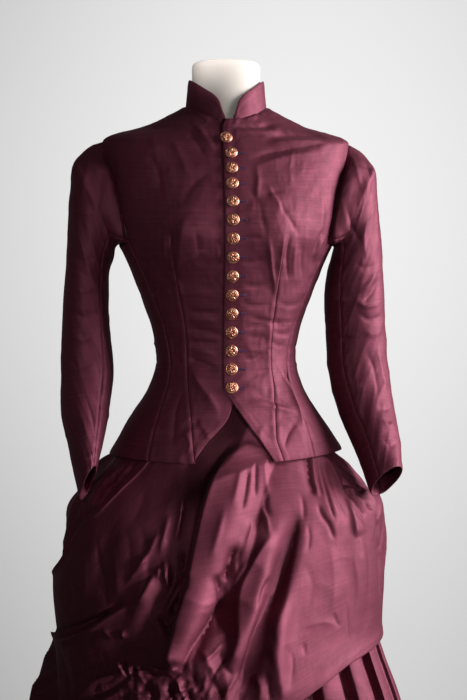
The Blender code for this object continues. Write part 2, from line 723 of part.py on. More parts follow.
def armhole_point(turn, side):
    """A point just inside the armhole: 0 at the shoulder, 90 in front, 180 at the armpit and 270 behind."""
    front_end, back_end = 180.0 - ARMPIT_HALF, 180.0 + ARMPIT_HALF
    if front_end < turn < back_end:
        share = (turn - front_end) / (back_end - front_end)
        ends = ARMHOLES[0]
        point = np.array(bodice_point(ARMPIT, side * (ends.front + (ends.back - ends.front) * share)))
    else:
        way = min(turn, 360.0 - turn) / front_end
        level = SHOULDER - (SHOULDER - ARMPIT) * math.sin(math.radians(90.0 * way)) ** 1.1
        point = armhole_edge(level, turn > 180.0, side)
    inwards = np.array((side * ARMHOLE_MIDDLE[0], ARMHOLE_MIDDLE[1], ARMHOLE_MIDDLE[2])) - point
    gap = ARMHOLE_GAP * (1.0 + 0.9 * max(0.0, -math.cos(math.radians(turn))))
    return point + inwards * (gap / np.linalg.norm(inwards))


def section_point(section, turn, side):
    """A point of one of the sleeve's sections, at a turn from its outer side towards the front."""
    outward, forward = math.cos(math.radians(turn)), math.sin(math.radians(turn))
    share = 0.5 + 0.5 * outward
    lift = math.radians(section.raise_front)
    x = section.inner_x + (section.outer_x - section.inner_x) * share
    y = section.y - section.half_depth * forward * math.cos(lift)
    z = section.inner_z + (section.outer_z - section.inner_z) * share
    z += section.half_depth * forward * math.sin(lift)
    return np.array((side * x, y, z))


def sleeve_column(sections, turn, side):
    """The sleeve's points at one turn, from the armhole to the cuff, on a smooth curve."""
    knots = [armhole_point(turn, side)]
    knots += [section_point(section, turn, side) for section in sections]
    Knot = namedtuple("Knot", "step x y z")
    table = [Knot(float(k), *knot) for k, knot in enumerate(knots)]
    found = [row_at(table, step) for step in steps(0.0, len(knots) - 1.0, SLEEVE_STEPS + 1)]
    return [(row.x, row.y, row.z) for row in found]


def build_sleeves():
    """An upper and an under sleeve for each arm, from the armhole to the open cuff."""
    outer_turn = 360.0 - BACK_SLEEVE_SEAM + FRONT_SLEEVE_SEAM
    outer_columns = round(SLEEVE_COLUMNS * outer_turn / 360.0)
    gap = math.degrees(0.5 * SEAM_GAP / 0.022)
    parts = (
        ("upper", BACK_SLEEVE_SEAM - 360.0 + gap, FRONT_SLEEVE_SEAM - gap, outer_columns + 1),
        ("under", FRONT_SLEEVE_SEAM + gap, BACK_SLEEVE_SEAM - gap, SLEEVE_COLUMNS - outer_columns + 1),
    )
    for word, side, sections in (("left", 1, LEFT_SLEEVE), ("right", -1, RIGHT_SLEEVE)):
        for part, first, last, columns in parts:
            turns = with_margin(steps(first, last, columns))
            grid = [sleeve_column(sections, turn % 360.0, side) for turn in turns]
            rows = [list(row) for row in zip(*grid)]
            cloth_wall(f"sleeve_{part}_{word}", rows, SLEEVE_WALL, TAFFETA, flip=side > 0, margin=1)


# ---- the skirt and its drapery


def skirt_point(height, angle, out=0.0):
    """A point of the plain skirt's outer face, moved out by that much."""
    girth = row_at(SKIRT_GIRTHS, height)
    across, forward = math.sin(math.radians(angle)), math.cos(math.radians(angle))
    depth = girth.front if forward > 0 else girth.back
    return ((girth.half_width + out) * across, -(depth + out) * forward, height)


def build_waistband():
    """The band that the skirt and its drapery hang from."""
    rows = []
    for z in (WAIST_SEAM, WAIST_SEAM + BAND_HEIGHT):
        turns = steps(0.0, 360.0, 37)[:-1]
        rows.append([skirt_point(WAIST_SEAM, turn)[:2] + (z,) for turn in turns])
    cloth_wall("waistband", rows, BAND_WALL, TAFFETA, closed=True)


def pleat_out(height):
    """How deep the pleats are at this height."""
    return PLEAT_DEPTH * ease((PLEAT_START - height) / (PLEAT_START - PLEAT_FULL))


def build_underskirt():
    """The pleated skirt, in a front, two sides and a back."""
    heights = [HEM_HEIGHT, 0.30, 0.50, 0.60, 0.88, 0.95, WAIST_SEAM - SEAM_GAP]
    shape = ((-0.08, -1.0), (0.0, 0.0), (0.54, 0.0), (0.62, -1.0))
    for word, middle in (("front", 0.0), ("left", 90.0), ("back", 180.0), ("right", 270.0)):
        pitch = 90.0 / PLEATS_PER_PANEL
        first = middle - 45.0 - 0.23 * pitch
        last = first + 90.0
        columns = [(first - 0.15 * pitch, -1.0), (first + PANEL_GAP, -1.0)]
        for k in range(PLEATS_PER_PANEL):
            columns += [(first + (k + at + 0.23) * pitch, dip) for at, dip in shape]
        columns += [(last - PANEL_GAP, -1.0), (last + 0.15 * pitch, -1.0)]
        rows = []
        for height in heights:
            depth = pleat_out(height)
            rows.append([skirt_point(height, angle, dip * depth) for angle, dip in columns])
        cloth_wall(f"underskirt_{word}", rows, SKIRT_WALL, TAFFETA, margin=1)


def fold_height(x, z):
    """How far the apron's folds stand out or sink in at this place, seen from the front."""
    total = 0.0
    for fold in APRON_FOLDS:
        run = np.array((fold.x1 - fold.x0, fold.z1 - fold.z0))
        here = np.array((x - fold.x0, z - fold.z0))
        share = float(here @ run) / float(run @ run)
        beside = here - run * share
        fade = ease(1.6 * (share + 0.15)) * ease(1.6 * (1.15 - share))
        total += fold.height * fade * math.exp(-float(beside @ beside) / fold.half_width**2)
    return total


def blend(row, angle):
    """A stand-off at an angle, from a table's row for the front, the two sides and the back."""
    across, forward = math.sin(math.radians(angle)), math.cos(math.radians(angle))
    side = row.left if across > 0 else row.right
    end = row.front if forward > 0 else row.back
    return side * across**2 + end * forward**2


def apron_stand(height, angle):
    """How far the apron stands off the skirt here, with its folds, which die out under the bodice."""
    out = blend(row_at(APRON_STAND, height), angle)
    x, _, z = skirt_point(height, angle, out)
    return out + fold_height(x, z) * ease((0.865 - height) / 0.05)


def build_apron():
    """The apron drapery: pleated up into two tucks at the wearer's right and falling in long folds."""
    plan = [(share, "top", "tuck_a", None) for share in (0.0, 0.12, 0.24, 0.37, 0.50, 0.64, 0.82)]
    plan += [(1.0, "top", "tuck_a", "under_a"), (0.0, "tuck_a", "tuck_b", "over_a")]
    plan += [(share, "tuck_a", "tuck_b", None) for share in (0.30, 0.65)]
    plan += [(1.0, "tuck_a", "tuck_b", "under_b"), (0.0, "tuck_b", "hem", "over_b")]
    plan += [(share, "tuck_b", "hem", None) for share in (0.35, 0.70, 1.0)]
    rows = []
    for share, first, last, fold in plan:
        row = []
        for turn in steps(-98.0, 98.0, 35):
            line = row_at(APRON_LINES, turn)
            height = getattr(line, first) * (1.0 - share) + getattr(line, last) * share
            if fold:
                depth = line.depth_a if fold.endswith("a") else line.depth_b
                under = -TUCK_RETURN * depth + 0.006 * (1.0 - depth)
                height += under if fold.startswith("under") else -0.006 * (1.0 - depth)
            edge = row_at(TUCKED_EDGE, height).angle
            angle = turn * edge / 98.0 if turn < 0.0 else turn
            out = apron_stand(height, angle)
            out += TUCK_STEP * line.depth_a * (first != "top")
            out += TUCK_STEP * line.depth_b * (first == "tuck_b")
            row.append(skirt_point(height, angle, out))
        rows.append(row)
    rows.reverse()
    cloth_wall("apron", rows, SKIRT_WALL, TAFFETA)


def under_apron(height, turn, out):
    """A puff's stand-off, held in where the apron lies over it."""
    angle = turn if turn < 180.0 else turn - 360.0
    edge = row_at(TUCKED_EDGE, height).angle if angle < 0.0 else 98.0
    past = max(0.0, abs(angle) - edge - 6.0)
    held = apron_stand(height, angle) - UNDER_LAYER
    return min(out, held + 0.060 * ease(past / 18.0))


def upper_puff_stand(share, turn):
    """How far the upper puff stands off the skirt, at a share of its height above its bottom edge."""
    bottom = row_at(UPPER_PUFF_EDGE, turn).bottom
    hem = bodice_point(0.0, turn)[2] - 0.0005
    height = bottom + (hem - bottom) * share
    out = blend(row_at(UPPER_PUFF_STAND, share), turn) + gather(turn, share)
    return height, under_apron(height, turn, out)


def under_upper_puff(height, turn, out):
    """The lower puff's stand-off, held in where the upper puff lies over it."""
    bottom = row_at(UPPER_PUFF_EDGE, turn).bottom
    hem = bodice_point(0.0, turn)[2] - 0.0005
    share = max(0.0, (height - bottom) / (hem - bottom))
    past = max(0.0, bottom - 0.045 - height)
    held = upper_puff_stand(share, turn)[1] - UNDER_PUFF
    return min(out, held + 0.060 * ease(past / 0.120))


def gather(turn, share):
    """The gathers round a puff, fullest between its edges."""
    return GATHER_DEPTH * math.sin(math.pi * share) * math.sin(math.radians(turn * PUFF_GATHERS + 90.0))


def build_upper_puff():
    """The upper puff of the back drapery, from the waist to its bottom edge over the bustle."""
    turns = steps(50.0, 314.0, 41)
    rows = []
    for share in (0.0, 0.08, 0.30, 0.52, 0.74, 0.92, 1.0):
        row = []
        for turn in turns:
            height, out = upper_puff_stand(share, turn)
            row.append(skirt_point(height, turn, out))
        rows.append(row)
    for height, out in ((0.950, 0.0045), (WAIST_SEAM - SEAM_GAP, 0.0022)):
        rows.append([skirt_point(height, turn, out) for turn in turns])
    cloth_wall("back_puff_upper", rows, SKIRT_WALL, TAFFETA)


def build_lower_puff():
    """The lower puff of the back drapery, which hangs lower at the wearer's right."""
    turns = steps(83.0, 300.8, 34)
    rows = []
    for share in (0.0, 0.06, 0.18, 0.32, 0.50, 0.70, 0.86, 1.0):
        row = []
        for turn in turns:
            bottom = row_at(LOWER_PUFF_EDGE, turn).bottom
            height = bottom + (LOWER_PUFF_TOP - bottom) * share
            out = blend(row_at(LOWER_PUFF_STAND, share), turn) + gather(turn, share)
            out = under_upper_puff(height, turn, under_apron(height, turn, out))
            row.append(skirt_point(height, turn, out))
        rows.append(row)
    cloth_wall("back_puff_lower", rows, SKIRT_WALL, TAFFETA)


# ---- the dress form


def build_form():
    """The limbless form: hips, waist, bust, shoulders and neck in one smooth body on a pole and a base."""
    turns = steps(0.0, 360.0, FORM_SIDES + 1)[:-1]
    levels = [level for level in LEVELS if level >= 4.0]
    cloth = np.array([[bodice_point(level, turn) for turn in turns] for level in levels])
    inward = inward_offsets(cloth, 1.0, True)
    inward /= np.linalg.norm(inward, axis=2, keepdims=True)
    insets = np.array([row_at(FORM_INSETS, level).inset for level in levels])
    body = cloth + inward * insets[:, None, None]
    rings = [[oval_point(hip, turn) for turn in turns] for hip in FORM_HIPS]
    rings += [list(ring) for ring in body]
    rings += [[oval_point(hip, turn) for turn in turns] for hip in FORM_NECK]
    stacked_solid("form_torso", rings, FORM_CLOTH)
    pole = [level_ring(POLE_RADIUS, z, POLE_SIDES) for z in (BASE_HEIGHT, FORM_HIPS[0].z)]
    stacked_solid("form_pole", pole, STEEL)
    profile = ((BASE_RADIUS - 0.002, 0.0), (BASE_RADIUS, 0.003), (BASE_RADIUS - 0.004, BASE_HEIGHT))
    stacked_solid("form_base", [level_ring(r, z, BASE_SIDES) for r, z in profile], STEEL)


def oval_point(ring, turn):
    """A point of a flat oval ring, at an angle from the centre front."""
    across, forward = math.sin(math.radians(turn)), math.cos(math.radians(turn))
    return (ring.half_width * across, -(ring.front if forward > 0 else ring.back) * forward, ring.z)


def main():
    """Build the dress and its form."""
    clear_scene()
    build_form()
    build_bodice()
    build_collar()
    build_buttons()
    build_sleeves()
    build_waistband()
    build_underskirt()
    build_apron()
    build_upper_puff()
    build_lower_puff()


main()
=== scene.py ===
"""Dresses the bustle dress and its form: cut and sewn silk shells, stamped buttons, buttonholes and light.

Metres, +Z up. The dress faces -Y and +X is the wearer's left. An angle goes round the figure in degrees: 0 is
the centre front, +90 the wearer's left side and 180 the centre back. A level is a ring of the bodice, from 0
at its hem to 13 at its neckline. The creases of the front are placed by the pixels of the camera's view.
"""

import logging
import math
from dataclasses import dataclass, field
from enum import Enum
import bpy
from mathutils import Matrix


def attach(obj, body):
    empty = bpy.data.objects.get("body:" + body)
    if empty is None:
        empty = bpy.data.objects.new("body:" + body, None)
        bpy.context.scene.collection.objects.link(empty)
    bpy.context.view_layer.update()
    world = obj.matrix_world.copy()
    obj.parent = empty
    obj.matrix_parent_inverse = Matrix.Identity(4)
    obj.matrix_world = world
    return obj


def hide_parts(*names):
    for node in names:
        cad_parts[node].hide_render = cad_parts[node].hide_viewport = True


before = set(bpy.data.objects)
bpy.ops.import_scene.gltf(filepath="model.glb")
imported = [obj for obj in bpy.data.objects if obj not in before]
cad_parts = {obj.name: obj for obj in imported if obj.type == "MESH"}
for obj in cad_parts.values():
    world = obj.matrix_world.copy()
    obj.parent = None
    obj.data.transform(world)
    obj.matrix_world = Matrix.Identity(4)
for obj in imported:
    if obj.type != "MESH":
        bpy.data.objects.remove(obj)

from types import SimpleNamespace
from typing import Callable

import bpy
import numpy as np
from mathutils import Vector
from mathutils.bvhtree import BVHTree
from numpy.typing import NDArray

Array = NDArray[np.float64]
Point = tuple[float, float]
Colour = tuple[float, float, float]
CreaseRow = tuple[tuple[Point, ...] | float, ...]
Seam = Callable[[Array], Array]

LOG = logging.getLogger("dress")
ROOT = "root"
VIEW_SIZE, VIEW_AXIS = (467.0, 700.0), (226.0, 350.0)
EYE_HEIGHT, EYE_DISTANCE = 1.041, 2.7
CRUMPLE_MEAN = 0.55
SIDES = (("left", 1.0), ("right", -1.0))


# ---------------------------------------------------------------- curves, noise and small sums


def ease(share: Array | float) -> Array:
    """A smooth step from 0 to 1."""
    share = np.clip(share, 0.0, 1.0)
    return share * share * (3.0 - 2.0 * share)


def bump(distance: Array, width: float) -> Array:
    """A soft hump that is 1 at distance 0 and all but gone at twice its width."""
    return np.exp(-((distance / width) ** 2))


def turned(angle: Array) -> tuple[Array, Array]:
    """How far an angle's direction goes across the figure, and how far forward."""
    return np.sin(np.radians(angle)), np.cos(np.radians(angle))


class Table:
    """Smooth curves through the rows of a short table, whose first named column is the key."""

    def __init__(self, columns: str, *rows: tuple[float, ...]) -> None:
        """Work out the slope of every column at every row, level where a column turns back.

        Args:
            columns: The columns' names, the key's first.
            rows: The table's rows, in the order of their keys.
        """
        self.names = columns.split()[1:]
        data = np.array(rows, float)
        self.keys, self.values = data[:, 0], data[:, 1:]
        rise = np.diff(self.values, axis=0) / np.diff(self.keys)[:, None]
        into, away = rise[:-1], rise[1:]
        most = 3.0 * np.minimum(abs(into), abs(away))
        through = np.where(into * away > 0.0, np.clip(0.5 * (into + away), -most, most), 0.0)
        self.slopes = np.concatenate([rise[:1], through, rise[-1:]])

    def values_at(self, key: Array | float) -> Array:
        """The values of every column.

        Args:
            key: One key or an array of them, held inside the table.
        Returns:
            An array with the columns along its last axis.
        """
        key = np.clip(np.asarray(key, float), self.keys[0], self.keys[-1])
        i = np.clip(np.searchsorted(self.keys, key, side="right") - 1, 0, len(self.keys) - 2)
        span = (self.keys[i + 1] - self.keys[i])[..., None]
        t = (key - self.keys[i])[..., None] / span
        t2, t3 = t * t, t**3
        return (
            (2 * t3 - 3 * t2 + 1) * self.values[i]
            + (t3 - 2 * t2 + t) * span * self.slopes[i]
            + (3 * t2 - 2 * t3) * self.values[i + 1]
            + (t3 - t2) * span * self.slopes[i + 1]
        )

    def at(self, key: Array | float) -> SimpleNamespace:
        """The row at a key, with an attribute for each column."""
        values = self.values_at(key)
        return SimpleNamespace(**{name: values[..., k] for k, name in enumerate(self.names)})


def soft_noise(across: Array, along: Array, seed: int) -> Array:
    """Smooth value noise from -1 to 1 over a plane, with about one hump a unit.

    Args:
        across: The first coordinate, in humps.
        along: The second coordinate, in humps.
        seed: Fixes the pattern.
    Returns:
        The noise at each place.
    """
    lattice = np.random.default_rng(seed).uniform(-1.0, 1.0, (64, 64))
    i, j = np.floor(across).astype(int), np.floor(along).astype(int)
    s, t = ease(across - i), ease(along - j)
    low = lattice[i % 64, j % 64] * (1 - s) + lattice[(i + 1) % 64, j % 64] * s
    high = lattice[i % 64, (j + 1) % 64] * (1 - s) + lattice[(i + 1) % 64, (j + 1) % 64] * s
    return low * (1 - t) + high * t


def crumple(across: Array, along: Array, size: float, seed: int) -> Array:
    """A net of soft ridges with flat facets between them, as crisp silk creases, with its mean near 0.

    Args:
        across: Cloth coordinate across, in metres.
        along: Cloth coordinate along, in metres.
        size: The facets' size, in metres.
        seed: Fixes the pattern.
    Returns:
        The relief at each place.
    """
    lean = across / size + 0.35 * soft_noise(across / size * 0.7, along / size * 0.7, seed + 7)
    first = 1.0 - abs(soft_noise(lean, along / size, seed)) ** 0.8
    second = 1.0 - abs(soft_noise(lean * 1.9 + 9.3, along / size * 1.9, seed + 1)) ** 0.8
    return first * 0.7 + second * 0.3 - CRUMPLE_MEAN


def arc_shares(count: int, pull: float = 0.75) -> Array:
    """Shares from 0 to 1 that lie closer together beside both ends, where the seams are."""
    even = np.linspace(0.0, 1.0, count)
    return (1.0 - pull) * even + pull * (1.0 - np.cos(math.pi * even)) / 2.0


def run_lengths(grid: Array, axis: int) -> Array:
    """The distance of each point of a grid from its first edge, along one axis of it.

    Args:
        grid: The points.
        axis: 0 to go up the columns, 1 to go along the rows.
    Returns:
        The distances, as rows and columns.
    """
    step = np.linalg.norm(np.diff(grid, axis=axis), axis=2)
    pad = [(0, 0), (0, 0)]
    pad[axis] = (1, 0)
    return np.cumsum(np.pad(step, pad), axis=axis)


# ---------------------------------------------------------------- creases


class Side(Enum):
    """The side that a crease is drawn from: the directions to the viewer's right and to the viewer."""

    FRONT = ((1.0, 0.0, 0.0), (0.0, -1.0, 0.0))
    BACK = ((-1.0, 0.0, 0.0), (0.0, 1.0, 0.0))
    LEFT = ((0.0, 1.0, 0.0), (1.0, 0.0, 0.0))
    RIGHT = ((0.0, -1.0, 0.0), (-1.0, 0.0, 0.0))


@dataclass(frozen=True)
class Crease:
    """One soft ridge or trough, along a path seen from one side.

    Attributes:
        path: Places as (distance to the viewer's right of the axis, height), in metres.
        height: How far it stands out, or sinks in where negative, in millimetres.
        left: Its width on the left of the path's direction, in millimetres.
        right: Its width on the right of the path's direction, in millimetres.
        side: The side that it is drawn from.
        fade: The share of its length over which each end dies out.
    """

    path: tuple[Point, ...]
    height: float
    left: float
    right: float
    side: Side = Side.FRONT
    fade: float = 0.35

    def relief(self, points: Array, normals: Array) -> Array:
        """How far this crease moves each point of a surface along its normal.

        Args:
            points: The surface's points.
            normals: Their outward normals.
        Returns:
            The distances, in metres.
        """
        right, facing = (np.array(axis) for axis in self.side.value)
        across, up = points @ right, points[..., 2]
        knots = np.array(self.path)
        reach = 2.6e-3 * max(self.left, self.right)
        low, high = knots.min(axis=0) - reach, knots.max(axis=0) + reach
        near = (across > low[0]) & (across < high[0]) & (up > low[1]) & (up < high[1])
        near &= normals @ facing > 0.0
        found = np.zeros(across.shape)
        if not near.any():
            return found
        line = self._line(knots)
        here = np.stack([across[near], up[near]], axis=1)
        run = np.diff(line, axis=0)
        length = np.linalg.norm(run, axis=1)
        start = np.concatenate([[0.0], np.cumsum(length)])
        offset = here[:, None] - line[None, :-1]
        share = np.clip((offset * run).sum(axis=2) / np.maximum(length**2, 1e-12), 0.0, 1.0)
        beside = offset - run * share[..., None]
        apart = np.linalg.norm(beside, axis=2)
        best = apart.argmin(axis=1)
        rows = np.arange(len(here))
        turn = run[best, 0] * beside[rows, best, 1] - run[best, 1] * beside[rows, best, 0]
        width = np.where(turn > 0.0, self.left, self.right) * 1e-3
        way = (start[best] + share[rows, best] * length[best]) / start[-1]
        fading = ease(way / self.fade) * ease((1.0 - way) / self.fade)
        form = np.exp(-((apart[rows, best] / width) ** 1.25))
        seen = ease((normals[near] @ facing) / 0.30)
        found[near] = self.height * 1e-3 * fading * form * seen
        return found

    @staticmethod
    def _line(knots: Array) -> Array:
        """A smooth line through a path's places.

        Args:
            knots: The path's places.
        Returns:
            Closely spaced points.
        """
        if len(knots) == 2:
            return np.linspace(knots[0], knots[1], 6)
        keyed = [(float(k), *knot) for k, knot in enumerate(knots)]
        return Table("step x z", *keyed).values_at(np.linspace(0.0, len(knots) - 1.0, 5 * len(knots)))


def creased(points: Array, normals: Array, creases: tuple[Crease, ...]) -> Array:
    """The sum of several creases' reliefs.

    Args:
        points: A surface's points.
        normals: Their outward normals.
        creases: The creases.
    Returns:
        How far each point is moved out, in metres.
    """
    total = np.zeros(points.shape[:2])
    for crease in creases:
        total += crease.relief(points, normals)
    return total


@dataclass(frozen=True)
class View:
    """Where a pixel of the camera's view lies on a piece that is taken for an oval column.

    Attributes:
        half_width: Half the oval's width, in metres.
        depth: How far its front stands before the figure's axis, in metres.
        pixel: The size of a pixel at the axis, in metres.
        sway: The first guess of how far the camera's turn shifts a place, in metres.
        turn: The sine and the cosine of the camera's turn round the figure.
        rounds: How often the place is worked out again from its own nearness.
    """

    half_width: float = 0.0
    depth: float = 0.0
    pixel: float = 0.00163
    sway: float = 0.01
    turn: Point = (0.087, 0.996)
    rounds: int = 6

    def nearness(self, x: float, down: float) -> float:
        """How far before the axis the piece lies at this distance across and this pixel down."""
        return self.depth * math.sqrt(max(0.0, 1 - (x / self.half_width) ** 2))

    def place(self, across: float, down: float) -> Point:
        """The place under a pixel, as its distance across and its height in metres.

        Args:
            across: How far across the view it is.
            down: How far down the view it is.
        Returns:
            The place, to a tenth of a millimetre.
        """
        x = (across - VIEW_AXIS[0]) * self.pixel - self.sway
        for _ in range(self.rounds):
            near = self.nearness(x, down)
            size = self.pixel * (1 - near / EYE_DISTANCE)
            x = ((across - VIEW_AXIS[0]) * size - self.turn[0] * near) / self.turn[1]
        return round(x, 4), round(EYE_HEIGHT - (down - VIEW_AXIS[1]) * size, 4)


@dataclass(frozen=True)
class SleeveView(View):
    """The same for the sleeves, which come forward from the elbow down.

    Attributes:
        elbow: The pixel down at which they start to come forward.
        forearm: The pixels from there to where they are nearest.
        nearest: How far before the axis the upper sleeve lies, and how much further the cuff, in metres.
    """

    elbow: float = 330.0
    forearm: float = 140.0
    nearest: Point = (0.03, 0.09)

    def nearness(self, x: float, down: float) -> float:
        """How far before the axis a sleeve lies at this pixel down."""
        return self.nearest[0] + self.nearest[1] * max(0, min(1, (down - self.elbow) / self.forearm))


def crease_table(
    rows: tuple[CreaseRow, ...], side: Side = Side.FRONT, fade: float = 0.35, view: View | None = None
) -> tuple[Crease, ...]:
    """Creases from the rows of a table.

    Args:
        rows: For each crease the places of its path, its height, its widths on the left and on the right in
            millimetres, and its own fade where it has one.
        side: The side that they are drawn from.
        fade: The fade of those without one of their own.
        view: What turns the places from pixels of the view into metres. Without one they are millimetres.
    Returns:
        The creases, in the table's order.
    """
    found = []
    for path, height, left, right, *own in rows:
        places = tuple(view.place(*spot) if view else (spot[0] / 1000, spot[1] / 1000) for spot in path)
        found.append(Crease(places, height, left, right, side, own[0] if own else fade))
    return tuple(found)


FRONT_CREASES: tuple[Crease, ...] = crease_table((
    (((230, 121), (247, 122), (263, 122), (284, 117)), -4.5, 3.5, 6),
    (((232, 127), (262, 128), (290, 124)), 3.5, 5, 4),
    (((262, 138), (284, 131.5), (317, 131.5), (334, 139.5)), -4.5, 4, 6),
    (((268, 143), (290, 137), (318, 138), (335, 145)), 4.5, 4, 6.5),
    (((246.5, 160), (270.6, 150.3), (297, 145), (335, 140)), -4, 4, 5),
    (((250, 167), (275, 158), (300, 152), (330, 150)), 3.2, 4, 7),
    (((266.5, 182), (273, 194), (278.6, 204), (281, 216)), 2.6, 2.6, 5.5),
    (((274.6, 197), (285, 213), (300, 238.7)), -2.5, 3.5, 3),
    (((257, 158), (258.5, 178), (257, 194.5), (262.5, 226)), 2.8, 6, 4),
    (((243.8, 184), (255.8, 195.8), (261.2, 216), (266.5, 240)), -2.9, 4, 5),
    (((266.5, 233), (269, 250), (271.5, 268), (277, 296)), 2.9, 4, 3),
    (((283, 232), (280.6, 257.4), (276.6, 296)), 2.6, 3, 4),
    (((289.3, 230), (286.6, 257.4), (290.7, 286)), -2.5, 3, 3.5),
    (((296, 236), (294, 262), (297, 282)), 2, 3, 3), (((301.4, 240), (302.7, 262), (305.4, 282)), -2, 3, 3),
    (((321.5, 226), (317, 238), (314, 254)), -3.1, 3, 3), (((327, 232), (320, 243), (316, 262)), 2.6, 4, 3),
    (((240, 205), (262, 196), (290, 186)), -1.6, 4, 4), (((238, 222), (252, 218), (268, 222)), -1.9, 3, 3),
    (((238, 243), (250, 238), (264, 240)), -1.9, 3, 3), (((240, 262), (252, 262), (266, 258)), -2, 3, 4),
    (((240, 283), (254, 286), (272, 283)), -1.9, 3, 3), (((239, 300), (256, 306), (274, 304)), -1.9, 3, 3),
    (((243, 316), (257, 318.3), (271, 321.5), (291.8, 327.8)), -2.5, 3.5, 3.5),
    (((244, 328), (258, 325.5), (272, 325)), -2, 3, 3), (((242, 338), (258, 337), (273, 338)), -1.9, 3, 3),
    (((244, 349), (258, 350), (270, 346)), 1.9, 3, 3.5),
    (((243, 356.6), (253.5, 359.7), (271, 350.2)), -2.5, 3.5, 3.5),
    (((272, 318), (284, 322), (300, 322)), -1.7, 2.6, 2.6),
    (((272, 331), (284, 334), (296, 333)), -1.7, 2.6, 2.6),
    (((271, 342), (282, 345), (290, 343)), -1.7, 2.6, 2.6),
    (((276, 300), (292, 305), (306, 300)), -1.6, 3, 3),
    (((277, 358), (288.6, 383.7), (299.8, 415.6), (307.8, 433), (315, 458)), 3.1, 4.5, 3),
    (((285.4, 358), (293.4, 382), (300.5, 406)), -3.1, 3.5, 3),
    (((299, 415), (311, 407), (324, 400)), -3.4, 3.5, 5), (((302, 420), (314, 417), (328, 410)), 2.9, 4, 5),
    (((299.8, 415.6), (279, 409), (246, 402)), 3.1, 3.5, 6),
    (((297, 410), (276, 402), (250, 394)), -2.2, 4, 5),
    (((299.8, 419), (289, 433), (282, 452)), -3.1, 4, 4),
    (((303, 420.4), (317.3, 439.5), (324, 455)), -2.9, 4, 4),
    (((268, 424), (258, 436), (266, 448)), 1.9, 6, 5), (((285, 372), (268, 372), (244, 380)), -2, 4, 6),
    (((243, 384), (256, 386), (270, 392)), 2, 5, 5), (((322, 185), (320, 222), (314, 262)), 7.1, 9, 24),
    (((272, 300), (271, 350), (280, 400)), 2.3, 6, 14), (((288, 372), (298, 410), (306, 445)), 5.3, 5, 16),
    (((184, 212), (181, 245), (178, 285)), 6.5, 18, 12),
    (((197, 118), (206.3, 134.2), (217, 150)), 2.8, 5, 3.5),
    (((190, 122), (198, 138), (208, 158)), -2.6, 4, 5), (((168, 132), (180, 152), (190, 180)), 1.9, 8, 5),
    (((146, 150), (158, 170), (162, 200)), -1.9, 7, 5), (((215, 168), (196, 182), (180, 205)), -1.9, 6, 6),
    (((170, 232), (171, 250)), -2.8, 3, 3), (((164, 236), (166, 262)), 2.3, 3.5, 3),
    (((194.2, 228), (199.6, 260)), -2, 4, 4), (((180.8, 266), (194, 257.5), (210, 250)), 1.9, 4, 4),
    (((215.6, 240), (219.7, 266)), 1.9, 3, 2.5), (((213, 276), (221, 290)), -1.7, 3, 2.5),
    (((186.6, 312), (205, 312), (224.8, 314.3)), -2.6, 3.5, 4),
    (((188, 320), (206, 320), (223, 324)), 2, 3.5, 3.5),
    (((187, 327), (206, 331), (224.8, 334.2)), -2.6, 3.5, 4),
    (((188, 341), (205.7, 342.5), (222, 344)), -2.3, 3.5, 4),
    (((188, 350), (205, 352), (221, 357)), 2.2, 4, 4),
    (((186, 356), (205.7, 364.5), (222, 371)), -3.4, 4, 5),
    (((189.7, 362), (199.3, 382), (212, 401), (223, 420)), 5.6, 9, 8),
    (((195, 420), (204, 431), (213, 441)), 2.9, 4, 3.5), (((191, 415), (200, 428), (207, 441)), -2.5, 4, 4),
    (((182, 428), (190, 444), (184, 458)), 2.8, 5, 5), (((150, 330), (165, 336), (181, 330)), -1.9, 3, 3),
    (((152, 345), (166, 349), (184, 343)), -1.9, 3, 3), (((176, 380), (160, 400), (142, 440)), 2.5, 7, 5),
    (((186, 388), (176, 412), (172, 452)), -2.2, 5, 5), (((165, 270), (178, 282), (184, 300)), 1.7, 4, 4),
    (((160, 255), (150, 262), (140, 262)), -1.9, 3.5, 3.5),
    (((166, 290), (156, 296), (146, 292)), -1.9, 3.5, 3.5),
), view=View(0.19, 0.115))
